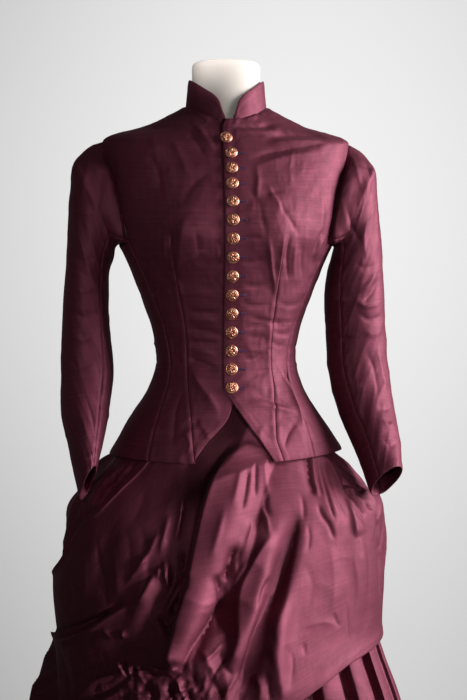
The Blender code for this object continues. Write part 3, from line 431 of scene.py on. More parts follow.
BACK_CREASES: tuple[Crease, ...] = crease_table((
    (((-95, 1058), (-60, 1052), (-20, 1056)), -1.4, 4, 4),
    (((-100, 1036), (-65, 1030), (-25, 1034)), 1.3, 4, 4),
    (((-90, 1015), (-55, 1008), (-15, 1012)), -1.5, 4, 5),
    (((18, 1050), (55, 1044), (95, 1052)), -1.3, 4, 4), (((22, 1026), (60, 1021), (100, 1029)), 1.4, 4, 5),
    (((15, 1000), (50, 996), (85, 1004)), -1.4, 4, 4),
    (((-165, 1290), (-120, 1262), (-70, 1250)), -1.7, 5, 6),
    (((-160, 1268), (-120, 1244), (-85, 1238)), 1.5, 5, 6),
    (((160, 1300), (118, 1268), (70, 1262)), -1.6, 5, 6),
    (((150, 1262), (115, 1246), (78, 1250)), 1.4, 5, 5),
    (((-140, 1330), (-90, 1312), (-40, 1318)), 1.4, 6, 6),
    (((135, 1335), (95, 1300), (60, 1240)), 1.4, 6, 5),
    (((-60, 1205), (-40, 1150), (-34, 1100)), -1.5, 6, 6),
    (((55, 1205), (44, 1160), (30, 1105)), 1.5, 6, 6),
    (((-15, 1380), (-22, 1330), (-12, 1290)), -1.2, 5, 5),
    (((-112, 970), (-128, 938), (-145, 902)), 1.8, 5, 5),
    (((-55, 975), (-62, 940), (-66, 900)), -1.7, 5, 5), (((50, 968), (62, 935), (70, 897)), -1.7, 5, 5),
    (((105, 975), (124, 942), (146, 905)), 1.8, 5, 5),
), Side.BACK) + crease_table((
    (((-52, 1052), (0, 1045), (50, 1054)), -1.5, 4, 4), (((-48, 1024), (4, 1016), (52, 1022)), 1.4, 4, 5),
    (((-30, 1098), (16, 1130), (48, 1172)), -1.5, 5, 5), (((-20, 1178), (10, 1150), (50, 1132)), 1.3, 5, 5),
    (((-20, 972), (4, 940), (20, 896)), -1.6, 5, 6),
), Side.LEFT) + crease_table((
    (((-46, 1056), (4, 1050), (56, 1046)), 1.4, 4, 4), (((-50, 1030), (0, 1021), (44, 1028)), -1.5, 4, 4),
    (((-44, 1170), (-10, 1134), (34, 1106)), -1.5, 5, 5), (((-24, 968), (-6, 936), (0, 894)), 1.6, 6, 5),
), Side.RIGHT)
SLEEVE_CREASES: tuple[Crease, ...] = crease_table((
    (((352, 150), (356, 170), (364, 195)), 2.2, 6, 5), (((362, 150), (369, 172), (376, 200)), -2.2, 5, 6),
    (((345, 205), (350, 225), (362, 248)), -2.2, 5, 4), (((368, 215), (362, 238), (366, 262)), 2.1, 5, 5),
    (((352, 262), (364, 268), (378, 264)), -2.1, 4, 5), (((378, 268), (368, 284), (356, 294)), 3.3, 4, 4),
    (((380, 276), (372, 292), (360, 304)), -3.3, 4, 4), (((352, 298), (366, 306), (384, 302)), 2.7, 4, 5),
    (((355, 312), (370, 320), (386, 314)), -2.4, 4, 4), (((360, 330), (372, 334), (386, 330)), 2.1, 5, 4),
    (((366, 350), (376, 370), (380, 398)), -2.2, 5, 5), (((376, 345), (384, 368), (390, 398)), 2.2, 4, 4),
    (((378, 406), (386, 410), (396, 406)), -2.2, 3.5, 4),
    (((382, 420), (390, 426), (398, 422)), 2.1, 3.5, 3.5),
    (((382, 440), (392, 446), (400, 442)), -2, 3.5, 3.5),
    (((328, 255), (336, 262), (346, 262)), -2, 3.5, 3.5), (((330, 290), (338, 300), (350, 300)), 2, 4, 4),
    (((332, 330), (342, 338), (354, 338)), -2, 4, 4), (((346, 380), (356, 386), (366, 384)), 1.8, 4, 4),
    (((98, 152), (88, 172), (82, 204)), 2.2, 6, 6), (((106, 160), (100, 190), (98, 225)), -2.1, 6, 6),
    (((74, 205), (84, 216), (98, 214)), 2, 6, 6), (((70, 250), (84, 262), (100, 258)), -2, 6, 6),
    (((70, 285), (84, 292), (102, 284)), 2.1, 6, 5), (((72, 310), (86, 318), (104, 308)), -2.2, 5, 5),
    (((68, 330), (84, 340), (104, 330)), 2.1, 5, 5), (((70, 360), (82, 366), (98, 358)), -2, 5, 5),
    (((74, 396), (84, 420), (90, 446)), 2, 5, 5), (((84, 390), (93, 415), (97, 444)), -2, 4, 4),
    (((78, 452), (88, 456), (98, 450)), 1.8, 4, 4),
), view=SleeveView())
APRON_CREASES: tuple[Crease, ...] = crease_table((
    (((168, 560), (167, 574), (169, 588)), 5, 3, 3.4, 0.3),
    (((182, 552), (182, 562), (184, 574)), 5.6, 3, 3.4, 0.3),
    (((188, 574), (176, 594), (164, 616)), 5, 3, 3.6, 0.2),
    (((192, 580), (180, 600), (167, 624)), -5.2, 3.4, 3.4, 0.2),
    (((171, 512), (166, 532), (160, 556)), 5.2, 4, 6, 0.3),
    (((184, 498), (181, 520), (176, 545)), 6, 3.5, 6, 0.3),
    (((160, 530), (150, 552), (138, 572)), 5.5, 4, 6, 0.3),
    (((150, 548), (140, 566), (124, 584)), 4.8, 4, 5, 0.3),
    (((264, 436), (244, 455), (228, 471), (216, 488), (207, 512), (201, 538), (194, 566), (186, 600),
      (178, 632), (169, 672)), 20, 38, 8, 0.08),
    (((228, 598), (216, 616), (200, 634), (187, 650), (178, 672)), -14, 9, 9, 0.15),
    (((211, 572), (219, 590), (222, 612), (216, 634)), -8, 8, 7, 0.2),
    (((238, 548), (230, 562), (226, 582)), -6, 6, 6, 0.2),
    (((292, 445), (278, 470), (264, 500), (252, 530)), -5, 14, 16, 0.12),
    (((250, 430), (232, 448), (216, 468), (205, 490), (196, 520), (188, 556), (178, 592),
      (166, 640)), -9, 7, 18, 0.06), (((214, 430), (200, 452), (182, 478)), -3.8, 12, 14),
    (((238, 540), (228, 572), (223, 604), (207, 630), (186, 664)), -9.5, 9, 12, 0.14),
    (((276, 532), (258, 556), (244, 582), (240, 606), (239, 634), (226, 668)), 8.5, 14, 8, 0.14),
    (((262, 500), (258, 530), (250, 560), (238, 590)), -5, 10, 8),
    (((301, 514), (294, 542), (288, 562), (279, 586), (263, 614), (250, 642), (238, 690)), -9, 9, 12, 0.12),
    (((303, 518), (294, 562), (285, 598), (275, 622), (272, 645), (276, 680), (280, 704)), 6, 26, 6.5, 0.1),
    (((275, 610), (271.5, 628), (272, 652)), -3.1, 2.6, 3),
    (((272, 575), (264, 590), (258, 606)), -5, 6, 5),
    (((259.5, 450), (258.8, 475), (257.5, 500)), -4.5, 3, 4.5, 0.2),
    (((252, 470), (248, 490), (242, 514)), -4.5, 3, 5, 0.25),
    (((247, 462), (240, 488), (232, 512)), 2.8, 5, 4), (((266, 455), (270, 490), (272, 512)), 2.5, 6, 5),
    (((272, 492), (268, 506), (272, 520)), -3.8, 3.5, 4),
    (((265, 500), (262, 515), (255, 535)), -3.2, 3.5, 4), (((262, 505), (268, 520), (271, 540)), 2.8, 3, 3),
    (((256, 515), (250, 535), (244, 552)), 2.8, 3.5, 3),
    (((244, 545), (238, 560), (240, 575)), -3.2, 3.5, 3.5),
    (((236, 545), (237, 560), (233, 575)), 2.5, 3, 3),
    (((228, 508), (219, 537), (210, 562)), 3.2, 2.8, 3.6),
    (((250, 560), (238, 575), (232, 590)), 2.5, 4, 4), (((303, 495), (306, 508), (306, 524)), -2.2, 3, 3),
    (((309, 524), (310, 540), (306, 556)), -2.1, 3, 3),
    (((320, 505), (325, 518), (331, 527), (336, 542)), -4, 2.6, 3.5, 0.2),
    (((314, 452), (314, 478), (318, 500)), -5.6, 4, 6, 0.2),
    (((319, 455), (319, 478), (322, 500)), 3.2, 2.6, 3, 0.2),
    (((323, 456), (323, 478), (326, 500)), -3.5, 2.4, 3, 0.2),
    (((327, 456), (328, 480), (332, 504), (338, 526)), -3.2, 2.4, 3, 0.2),
    (((331, 456), (334, 484), (341, 505), (347, 520)), -3.2, 2.6, 3, 0.2),
    (((329, 455), (337, 470), (345, 488), (353, 512), (357, 540)), 6.4, 12, 3, 0.1),
    (((336, 458), (344, 474), (351, 490), (356, 504)), -4.5, 2.6, 8, 0.15),
    (((345, 484), (356, 489), (369, 494)), -4.8, 2.6, 3, 0.15),
    (((348, 489), (358, 494), (368, 499)), 3.2, 3, 3), (((340, 462), (350, 466), (360, 476)), 3.2, 6, 7),
    (((346, 472), (356, 478), (364, 486)), -2.5, 4, 5),
    (((350, 490), (358, 503), (366, 520)), -4.2, 3, 3.5, 0.2),
    (((356, 492), (366, 502), (376, 512)), -4, 3, 3, 0.2), (((344, 470), (350, 500), (362, 532)), -3, 4, 4),
    (((330, 540), (334, 580), (330, 620)), 2.2, 12, 10), (((352, 545), (358, 590), (352, 640)), 2.2, 10, 8),
    (((364, 530), (370, 570), (368, 620)), -2, 6, 6),
    (((346, 600), (347.5, 625), (349, 650)), -1.5, 2.4, 2.4),
    (((332, 612), (336, 622), (340, 628)), -2, 3, 3), (((300, 628), (320, 622), (340, 626)), 1.6, 6, 6),
    (((301, 640), (304, 655)), -1.6, 3, 3), (((280, 640), (290, 660), (286, 688)), -2.2, 5, 5),
    (((300, 560), (312, 585), (305, 615)), -1.5, 9, 9), (((346, 487), (356, 500), (362, 512)), -4, 3, 3.5),
    (((352, 488), (362, 500), (368, 516)), 3.5, 3, 3), (((357, 490), (368, 500), (374, 514)), -3.5, 3, 3),
    (((364, 490), (374, 498), (380, 510)), 3.2, 3, 3), (((350, 498), (356, 512), (366, 530)), 3, 3.5, 3.5),
    (((379, 508), (378.5, 530), (381, 560), (382, 606)), -4.5, 3, 3.5, 0.2),
    (((214, 572), (222, 592)), -3.8, 4, 4), (((225, 572), (228, 596)), 3, 4, 4),
    (((222, 640), (210, 652), (196, 660)), 3.5, 4, 4), (((230, 650), (218, 662), (205, 682)), -3.5, 4, 4),
    (((215, 640), (222, 662), (236, 676)), -3.2, 4, 3.5), (((198, 642), (206, 658), (216, 676)), 3.2, 4, 4),
    (((238, 668), (226, 684), (220, 700)), 3.8, 4, 4), (((204, 668), (216, 684), (222, 700)), -3.2, 4, 4),
    (((252, 668), (258, 684), (256, 702)), 3.8, 4, 5), (((262, 664), (266, 684), (268, 702)), -4.2, 5, 4),
    (((191, 650), (192, 672), (198, 690)), -4, 6, 5), (((140, 525), (147, 552), (148, 584)), -2.8, 7, 6),
    (((97, 536), (101, 562), (106, 585), (108, 607)), -3, 3, 3.5, 0.3),
    (((112, 530), (116, 566), (120, 600)), 2.2, 8, 7), (((84, 540), (86, 575), (84, 606)), 2, 7, 6),
    (((68, 560), (72, 590), (70, 612)), -2, 5, 5), (((126, 520), (130, 560), (130, 596)), -1.8, 7, 6),
    (((164, 556), (165.5, 574), (167.5, 592)), 5.5, 4, 3, 0.3), (((159, 564), (158, 578)), 5.6, 3.5, 3),
    (((178, 546), (182, 562), (184, 576)), 5, 5, 3),
    (((188, 572), (176, 588), (164, 612)), 5.5, 4, 4, 0.15),
    (((192, 574), (182, 590), (170, 612)), -5.6, 3.5, 3.5, 0.15),
    (((156, 570), (147, 586), (137, 604)), 7, 6, 3.5), (((149, 573), (141, 589), (134, 602)), -5, 3, 3),
    (((139, 585), (137, 602)), 5, 3.5, 3), (((176, 560), (172, 584), (160, 606)), -4.4, 5, 5),
    (((156, 615), (163, 630), (171, 640)), 5.5, 3.5, 3.5, 0.2),
    (((158, 611), (167, 624), (173, 636)), -5.6, 3, 3, 0.2),
    (((146, 610), (155, 624), (164, 638)), 4.4, 4, 4), (((103, 623), (108, 629), (115, 634)), 5, 3, 3.5),
    (((122, 625), (125, 635)), 5.6, 3.2, 3), (((176, 612), (171, 634), (172, 662)), 6, 7, 4, 0.15),
    (((100, 640), (130, 642), (168, 648)), -5, 9, 7),
    (((56, 629), (72, 625), (89, 619), (109, 607), (126, 598)), -6, 3.5, 3.5, 0.1),
    (((56, 636), (72, 631), (89, 625), (109, 613), (128, 603)), 4.5, 3, 5, 0.15),
    (((60, 693), (89, 688), (109, 682), (125, 673), (144, 662)), -5.5, 3.5, 3.5, 0.12),
    (((60, 700), (89, 695), (109, 689), (126, 681)), 4, 3, 5, 0.2),
    (((145, 660), (154, 664), (166, 666), (178, 663)), 6, 3.2, 3.5, 0.15),
    (((146, 667), (156, 670), (168, 671), (180, 668)), -5.5, 2.8, 3.2, 0.15),
    (((116, 652), (121, 662), (126, 672)), 6, 4, 3.5), (((128, 656), (130, 668), (133, 676)), 5, 4, 3),
    (((122, 652), (126, 664), (130, 674)), -5, 3, 3), (((136, 656), (139, 668), (145, 680)), 5, 4, 3.5),
    (((144, 672), (151, 684), (150, 698)), -5, 3.5, 3.5), (((137, 676), (139, 688), (136, 702)), 5, 4, 3.5),
    (((156, 674), (160, 688), (157, 702)), 5.5, 4, 3.5), (((166, 674), (170, 688), (176, 702)), -5, 3.5, 3),
    (((174, 672), (180, 686), (188, 702)), 5, 4, 3.5), (((186, 684), (190, 702)), -5, 4, 3),
    (((122, 687), (134, 689), (146, 688), (158, 690)), 5.6, 3, 3.5),
    (((118, 695), (134, 698), (150, 699)), -5, 3.5, 3.5),
    (((60, 634), (66, 652), (70, 672), (72, 692)), -2.5, 3.5, 4),
    (((69, 638), (73, 655), (76, 676)), 2.2, 4, 4), (((84, 628), (90, 650), (94, 680)), 1.9, 7, 6),
    (((102, 640), (106, 662), (104, 684)), -1.8, 6, 6), (((113, 494), (104, 501), (95, 508)), 2.2, 2.6, 3),
    (((100, 505), (84, 520), (70, 542)), -2, 4, 4), (((190, 480), (174, 500), (160, 530)), 1.5, 12, 10),
    (((150, 480), (142, 505), (128, 530)), -1.6, 10, 8),
), view=View(0.26, 0.185)) + crease_table((
    (((46, 800), (-10, 742), (-60, 665)), 3.2, 9, 7), (((46, 776), (4, 722), (-30, 655)), -2.8, 6, 7),
    (((46, 752), (16, 700), (-8, 632)), 3, 8, 7), (((40, 815), (-30, 770), (-85, 700)), -2.4, 6, 7),
    (((20, 818), (-50, 790), (-100, 735)), 2.4, 7, 7), (((46, 724), (26, 680), (16, 630)), -2.4, 5, 6),
    (((46, 690), (34, 650), (30, 615)), 2.2, 6, 6),
), Side.LEFT)
PUFF_CREASES: tuple[Crease, ...] = crease_table((
    (((-225, 862), (-238, 822), (-232, 760)), -4.8, 9.6, 12.8),
    (((-176, 872), (-192, 830), (-184, 792)), 4.8, 11.2, 9.6),
    (((-140, 874), (-146, 842), (-158, 806)), -5.2, 9.6, 8),
    (((-98, 876), (-104, 846), (-98, 800)), 4.3, 12.8, 9.6),
    (((-60, 878), (-58, 850), (-68, 818)), -4.8, 8, 9.6),
    (((-18, 878), (-22, 842), (-14, 800)), 4.8, 9.6, 12.8),
    (((22, 878), (18, 850), (30, 812)), -5.2, 9.6, 8), (((64, 877), (70, 840), (62, 806)), 4.3, 9.6, 9.6),
    (((100, 875), (108, 846), (120, 820)), -4.8, 9.6, 9.6),
    (((146, 872), (158, 830), (150, 780)), 4.8, 11.2, 9.6),
    (((196, 866), (214, 820), (220, 740)), -4.8, 12.8, 9.6),
    (((-210, 780), (-206, 700), (-190, 610)), -5.2, 14.4, 11.2),
    (((-160, 780), (-148, 690), (-156, 600)), 5.2, 14.4, 16),
    (((-112, 782), (-108, 720), (-92, 650)), -5.7, 12.8, 11.2),
    (((-66, 784), (-58, 680), (-60, 570)), 4.8, 14.4, 12.8),
    (((-20, 785), (-26, 716), (-14, 640)), -5.7, 11.2, 12.8),
    (((24, 785), (26, 690), (38, 580)), 5.2, 12.8, 16),
    (((70, 784), (82, 700), (78, 620)), -5.2, 12.8, 11.2),
    (((118, 780), (128, 670), (146, 540)), 5.7, 16, 12.8),
    (((166, 774), (186, 680), (192, 580)), -5.7, 12.8, 12.8),
    (((214, 750), (232, 660), (240, 560)), 4.8, 12.8, 14.4),
    (((-240, 700), (-120, 640), (40, 650)), 3.8, 19.2, 14.4),
    (((10, 600), (130, 560), (250, 600)), -3.8, 14.4, 19.2),
), Side.BACK, fade=0.45) + crease_table((
    (((30, 860), (60, 825), (120, 800)), 3.8, 11.2, 12.8),
    (((-40, 848), (-10, 820), (40, 805)), -3.8, 9.6, 9.6),
    (((120, 850), (150, 820), (210, 806)), -4.3, 11.2, 11.2),
    (((80, 780), (120, 700), (150, 600)), -4.8, 12.8, 12.8),
    (((140, 786), (190, 700), (215, 600)), 4.8, 12.8, 14.4),
    (((200, 786), (240, 720), (262, 640)), -4.8, 12.8, 12.8),
), Side.LEFT, fade=0.45) + crease_table((
    (((-240, 850), (-200, 800), (-150, 740)), 4.3, 12.8, 12.8),
    (((-160, 856), (-120, 800), (-70, 730)), -4.8, 12.8, 11.2),
    (((-80, 862), (-50, 810), (-10, 750)), 4.3, 11.2, 12.8),
    (((-10, 860), (10, 820), (50, 780)), -4.3, 9.6, 9.6),
    (((-220, 690), (-170, 600), (-100, 500)), -5.2, 14.4, 14.4),
    (((-120, 680), (-80, 590), (-20, 490)), 4.8, 12.8, 14.4),
    (((-40, 650), (0, 570), (40, 480)), -4.8, 12.8, 12.8),
), Side.RIGHT, fade=0.45) + crease_table((
    (((-176, 874), (-184, 846), (-180, 815)), -3.5, 3, 3.5),
    (((-190, 860), (-200, 835), (-196, 810)), 2.8, 4, 4),
    (((-166, 872), (-164, 850), (-170, 820)), 2.8, 3.5, 3.5),
    (((176, 868), (196, 850), (208, 826)), 3.2, 4, 4.5), (((186, 862), (208, 846), (220, 822)), -3, 3.5, 4),
    (((172, 850), (190, 834), (200, 818)), -3, 3.5, 3.5),
)) + crease_table((
    (((62, 540), (84, 518), (98, 506), (112, 494)), -5, 6, 6),
    (((112, 494), (130, 484), (150, 474), (172, 466)), -4.5, 6, 6),
    (((117, 468), (115.5, 480), (114.5, 492)), -7, 3.5, 3.5),
    (((104, 462), (107, 474), (110, 488)), 5, 5, 4), (((124, 462), (122, 474), (121, 486)), 4, 4, 4),
), view=View(0.26, 0.185))


# ---------------------------------------------------------------- cloth


def smooth_mesh(
    name: str, points: Array, faces: list[tuple[int, ...]], angle: float = 40.0
) -> bpy.types.Object:
    """A smooth-shaded mesh object in the scene.

    Args:
        name: Its name.
        points: Its vertices.
        faces: Its faces.
        angle: The bend in degrees from which an edge is sharp.
    Returns:
        The object.
    """
    mesh = bpy.data.meshes.new(name)
    mesh.from_pydata(points.tolist(), [], faces)
    mesh.shade_smooth()
    mesh.set_sharp_from_angle(angle=math.radians(angle))
    made = bpy.data.objects.new(name, mesh)
    bpy.context.scene.collection.objects.link(made)
    return made


def lathe_faces(rings: int, count: int) -> list[tuple[int, ...]]:
    """The faces of a closed solid of stacked rings, its first ring at the bottom.

    Args:
        rings: How many rings there are.
        count: How many points each has.
    Returns:
        The faces, the bottom's and the top's last.
    """
    faces: list[tuple[int, ...]] = []
    for r in range(rings - 1):
        for c in range(count):
            a, b = r * count + c, r * count + (c + 1) % count
            faces.append((a, b, b + count, a + count))
    faces.append(tuple(reversed(range(count))))
    faces.append(tuple(range((rings - 1) * count, rings * count)))
    return faces


def disc_ring(radius: float, z: float, sides: int) -> Array:
    """The points of a level circle round the axis."""
    spin = np.linspace(0.0, 2.0 * math.pi, sides, endpoint=False)
    return np.stack([radius * np.cos(spin), radius * np.sin(spin), z + 0.0 * spin], axis=-1)


def edge_distances(grid: Array) -> tuple[Array, Array, Array, Array]:
    """How far each point of a grid lies from its first and last columns and from its first and last rows.

    Args:
        grid: The points.
    Returns:
        The four distances, each as rows and columns.
    """
    across, along = run_lengths(grid, 1), run_lengths(grid, 0)
    return across, across[:, -1][:, None] - across, along, along[-1][None] - along


def normals_of(grid: Array, closed: bool = False, flip: bool = False) -> Array:
    """The outward normal at each point of a grid whose rows run up the cloth.

    Args:
        grid: The points.
        closed: Whether its last column meets its first.
        flip: Whether it is mirrored.
    Returns:
        The unit normals.
    """
    if closed:
        wide = np.concatenate([grid[:, -1:], grid, grid[:, :1]], axis=1)
        along = np.gradient(wide, axis=1)[:, 1:-1]
    else:
        along = np.gradient(grid, axis=1)
    normal = np.cross(along, np.gradient(grid, axis=0))
    normal /= np.maximum(np.linalg.norm(normal, axis=2, keepdims=True), 1e-12)
    return -normal if flip else normal


@dataclass
class Cloth:
    """A shell of cloth on a grid of points, its rows running up it and each row round it.

    Attributes:
        name: The piece's name.
        grid: The outer face's points, as rows, columns and x, y, z.
        wall: The cloth's thickness, in metres.
        closed: Whether the last column meets the first.
        flip: Whether the grid is mirrored, so that its normals point in.
        relief: How far each point is moved out, in metres.
        coarse: How many outer columns and rows one face of the inner side spans.
        slack: How much further in the inner side lies away from the edges, under the creases.
        painted_shade: The share of painted shade at each point of the outer face, darkening its colour.
        sharp: The bend in degrees from which an edge is sharp.
    """

    name: str
    grid: Array
    wall: float
    closed: bool = False
    flip: bool = False
    relief: Array | None = None
    coarse: int = 3
    slack: float = 0.0025
    painted_shade: Array | None = None
    sharp: float = 70.0

    def build(self) -> bpy.types.Object:
        """Make the shell's mesh.

        Returns:
            The object, at the origin, with the cloth's own coordinates in metres as its UV map.
        """
        normals = normals_of(self.grid, self.closed, self.flip)
        relief = np.zeros(self.grid.shape[:2]) if self.relief is None else self.relief
        outer = self.grid + normals * relief[..., None]
        rows, columns = outer.shape[:2]
        keep_rows = self._kept(rows, False)
        keep_columns = self._kept(columns, self.closed)
        outer_normals = normals_of(outer, self.closed, self.flip)
        depth = self.wall + self._slack_at(keep_rows, keep_columns)
        corner = np.ix_(keep_rows, keep_columns)
        inner = self.grid[corner] + normals[corner] * np.minimum(relief[corner], 0.0)[..., None]
        inner = inner - normals[corner] * depth[..., None]
        on_edge = self._on_edge(len(keep_rows), len(keep_columns))
        close = outer[corner] - outer_normals[corner] * self.wall
        inner = np.where(on_edge[..., None], close, inner)
        uv = self._map()
        faces = self._faces(rows, columns, keep_rows, keep_columns)
        points = np.concatenate([outer.reshape(-1, 3), inner.reshape(-1, 3)])
        flat = np.concatenate([uv.reshape(-1, 2), uv[corner].reshape(-1, 2)])
        if self.flip:
            faces = [face[::-1] for face in faces]
        made = self._mesh(points, faces, flat)
        # The painted shade goes into a point attribute, which the silk reads.
        if self.painted_shade is not None:
            kept = np.concatenate([self.painted_shade.ravel(), self.painted_shade[corner].ravel()])
            layer = made.data.attributes.new("painted_shade", "FLOAT", "POINT")
            layer.data.foreach_set("value", kept.astype(np.float32))
        return made

    def _kept(self, count: int, closed: bool) -> Array:
        """The rows or columns that the inner side keeps, its last one too."""
        kept = np.arange(0, count, self.coarse)
        return kept if closed or kept[-1] == count - 1 else np.append(kept, count - 1)

    def _on_edge(self, rows: int, columns: int) -> Array:
        """Which of the inner side's points lie on the cloth's edges.

        Args:
            rows: The inner side's rows.
            columns: Its columns.
        Returns:
            Whether each point is on an edge.
        """
        edge = np.zeros((rows, columns), bool)
        edge[[0, -1]] = True
        if not self.closed:
            edge[:, [0, -1]] = True
        return edge

    def _slack_at(self, rows: Array, columns: Array) -> Array:
        """How much further in the inner side's points lie than the cloth's thickness.

        Args:
            rows: The rows that the inner side keeps.
            columns: The columns that it keeps.
        Returns:
            The distances.
        """
        down = np.minimum(np.arange(len(rows)), np.arange(len(rows))[::-1])[:, None] / 3.0
        if self.closed:
            return self.slack * ease(down) * np.ones((1, len(columns)))
        beside = np.minimum(np.arange(len(columns)), np.arange(len(columns))[::-1])[None] / 3.0
        return self.slack * ease(down) * ease(beside)

    def _map(self) -> Array:
        """The cloth's own coordinates: metres across from its middle column, and metres up its length.

        Returns:
            The coordinates of each point.
        """
        across = run_lengths(self.grid, 1)
        across = across - across[:, across.shape[1] // 2][:, None]
        along = run_lengths(self.grid, 0).mean(axis=1, keepdims=True)
        return np.stack([across, along + 0.0 * across], axis=2)

    def _faces(self, rows: int, columns: int, keep_rows: Array, keep_columns: Array) -> list[tuple[int, ...]]:
        """The faces of both sides and of the rims between them.

        Args:
            rows: The outer side's rows.
            columns: Its columns.
            keep_rows: The rows that the inner side keeps.
            keep_columns: The columns that it keeps.
        Returns:
            The faces, the outer side's first.
        """
        wrap = columns if self.closed else 0
        ahead = np.arange(columns if self.closed else columns - 1)
        after = (ahead + 1) % columns
        i = np.arange(rows - 1)[:, None] * columns
        quads = np.stack([i + ahead, i + after, i + columns + after, i + columns + ahead], axis=2)
        faces = [tuple(face) for face in quads.reshape(-1, 4).tolist()]
        back, width = rows * columns, len(keep_columns)
        steps = width if self.closed else width - 1

        def inner(row: int, column: int) -> int:
            """The index of an inner point."""
            return back + row * width + column % width

        for r in range(len(keep_rows) - 1):
            for c in range(steps):
                faces.append((inner(r + 1, c), inner(r + 1, c + 1), inner(r, c + 1), inner(r, c)))
        top, end, last_row = (rows - 1) * columns, columns - 1, len(keep_rows) - 1
        for c in range(steps):
            first = int(keep_columns[c])
            last = int(keep_columns[c + 1]) if c + 1 < width else wrap
            span = [k % columns for k in range(first, last + 1)]
            faces.append((inner(0, c), inner(0, c + 1), *span[::-1]))
            faces.append((inner(last_row, c + 1), inner(last_row, c), *[top + k for k in span]))
        if not self.closed:
            for r in range(last_row):
                span = list(range(int(keep_rows[r]), int(keep_rows[r + 1]) + 1))
                faces.append((inner(r + 1, 0), inner(r, 0), *[k * columns for k in span]))
                edge = [k * columns + end for k in span[::-1]]
                faces.append((inner(r, width - 1), inner(r + 1, width - 1), *edge))
        return faces

    def _mesh(self, points: Array, faces: list[tuple[int, ...]], flat: Array) -> bpy.types.Object:
        """A smooth-shaded mesh object with a UV map.

        Args:
            points: Its vertices.
            faces: Its faces.
            flat: Each vertex's place on the flat cloth.
        Returns:
            The object.
        """
        made = smooth_mesh(self.name, points, faces, self.sharp)
        mesh = made.data
        corners = np.empty(len(mesh.loops), np.int32)
        mesh.loops.foreach_get("vertex_index", corners)
        layer = mesh.uv_layers.new(name="cloth")
        layer.data.foreach_set("uv", flat[corners].astype(np.float32).ravel())
        return made

    def cut(self) -> tuple[Point, float]:
        """The flat size of the piece: its greatest width and length, and its area, in metres.

        Returns:
            The width and the length, and the area.
        """
        width = float(run_lengths(self.grid, 1)[:, -1].max())
        if self.closed:
            width += float(np.linalg.norm(self.grid[:, 0] - self.grid[:, -1], axis=1).max())
        length = float(run_lengths(self.grid, 0)[-1].max())
        a, b = self.grid[1:, 1:] - self.grid[:-1, :-1], self.grid[1:, :-1] - self.grid[:-1, 1:]
        area = float(np.linalg.norm(np.cross(a, b), axis=2).sum() / 2.0)
        return (round(width, 3), round(length, 3)), area


def seam_relief(distance: Array, along: Array, depth: float = 0.0009) -> Array:
    """A seam's groove, the soft ridge of its turnings beside it, and the small puckers of its stitching.

    Args:
        distance: How far each point lies from the seam, in metres.
        along: How far along the seam it lies, in metres.
        depth: The groove's depth.
    Returns:
        The relief, in metres.
    """
    fine = soft_noise(along / 0.0065, distance / 0.020, 17)
    ripple = fine + 0.6 * soft_noise(along / 0.0160, distance / 0.030, 18)
    groove, turnings = bump(distance, 0.0013), bump(distance - 0.0055, 0.0035)
    return -depth * groove + 0.00045 * turnings + 0.00055 * ripple * bump(distance - 0.004, 0.0065)


def edge_relief(distance: Array, thick: float = 0.0007) -> Array:
    """The turned edge of a faced hem: a soft thickness, rounded off at its edge."""
    return thick * (ease(distance / 0.0018) - 1.0) + 0.0004 * bump(distance - 0.009, 0.0045)


# ---------------------------------------------------------------- the forms under the cloth


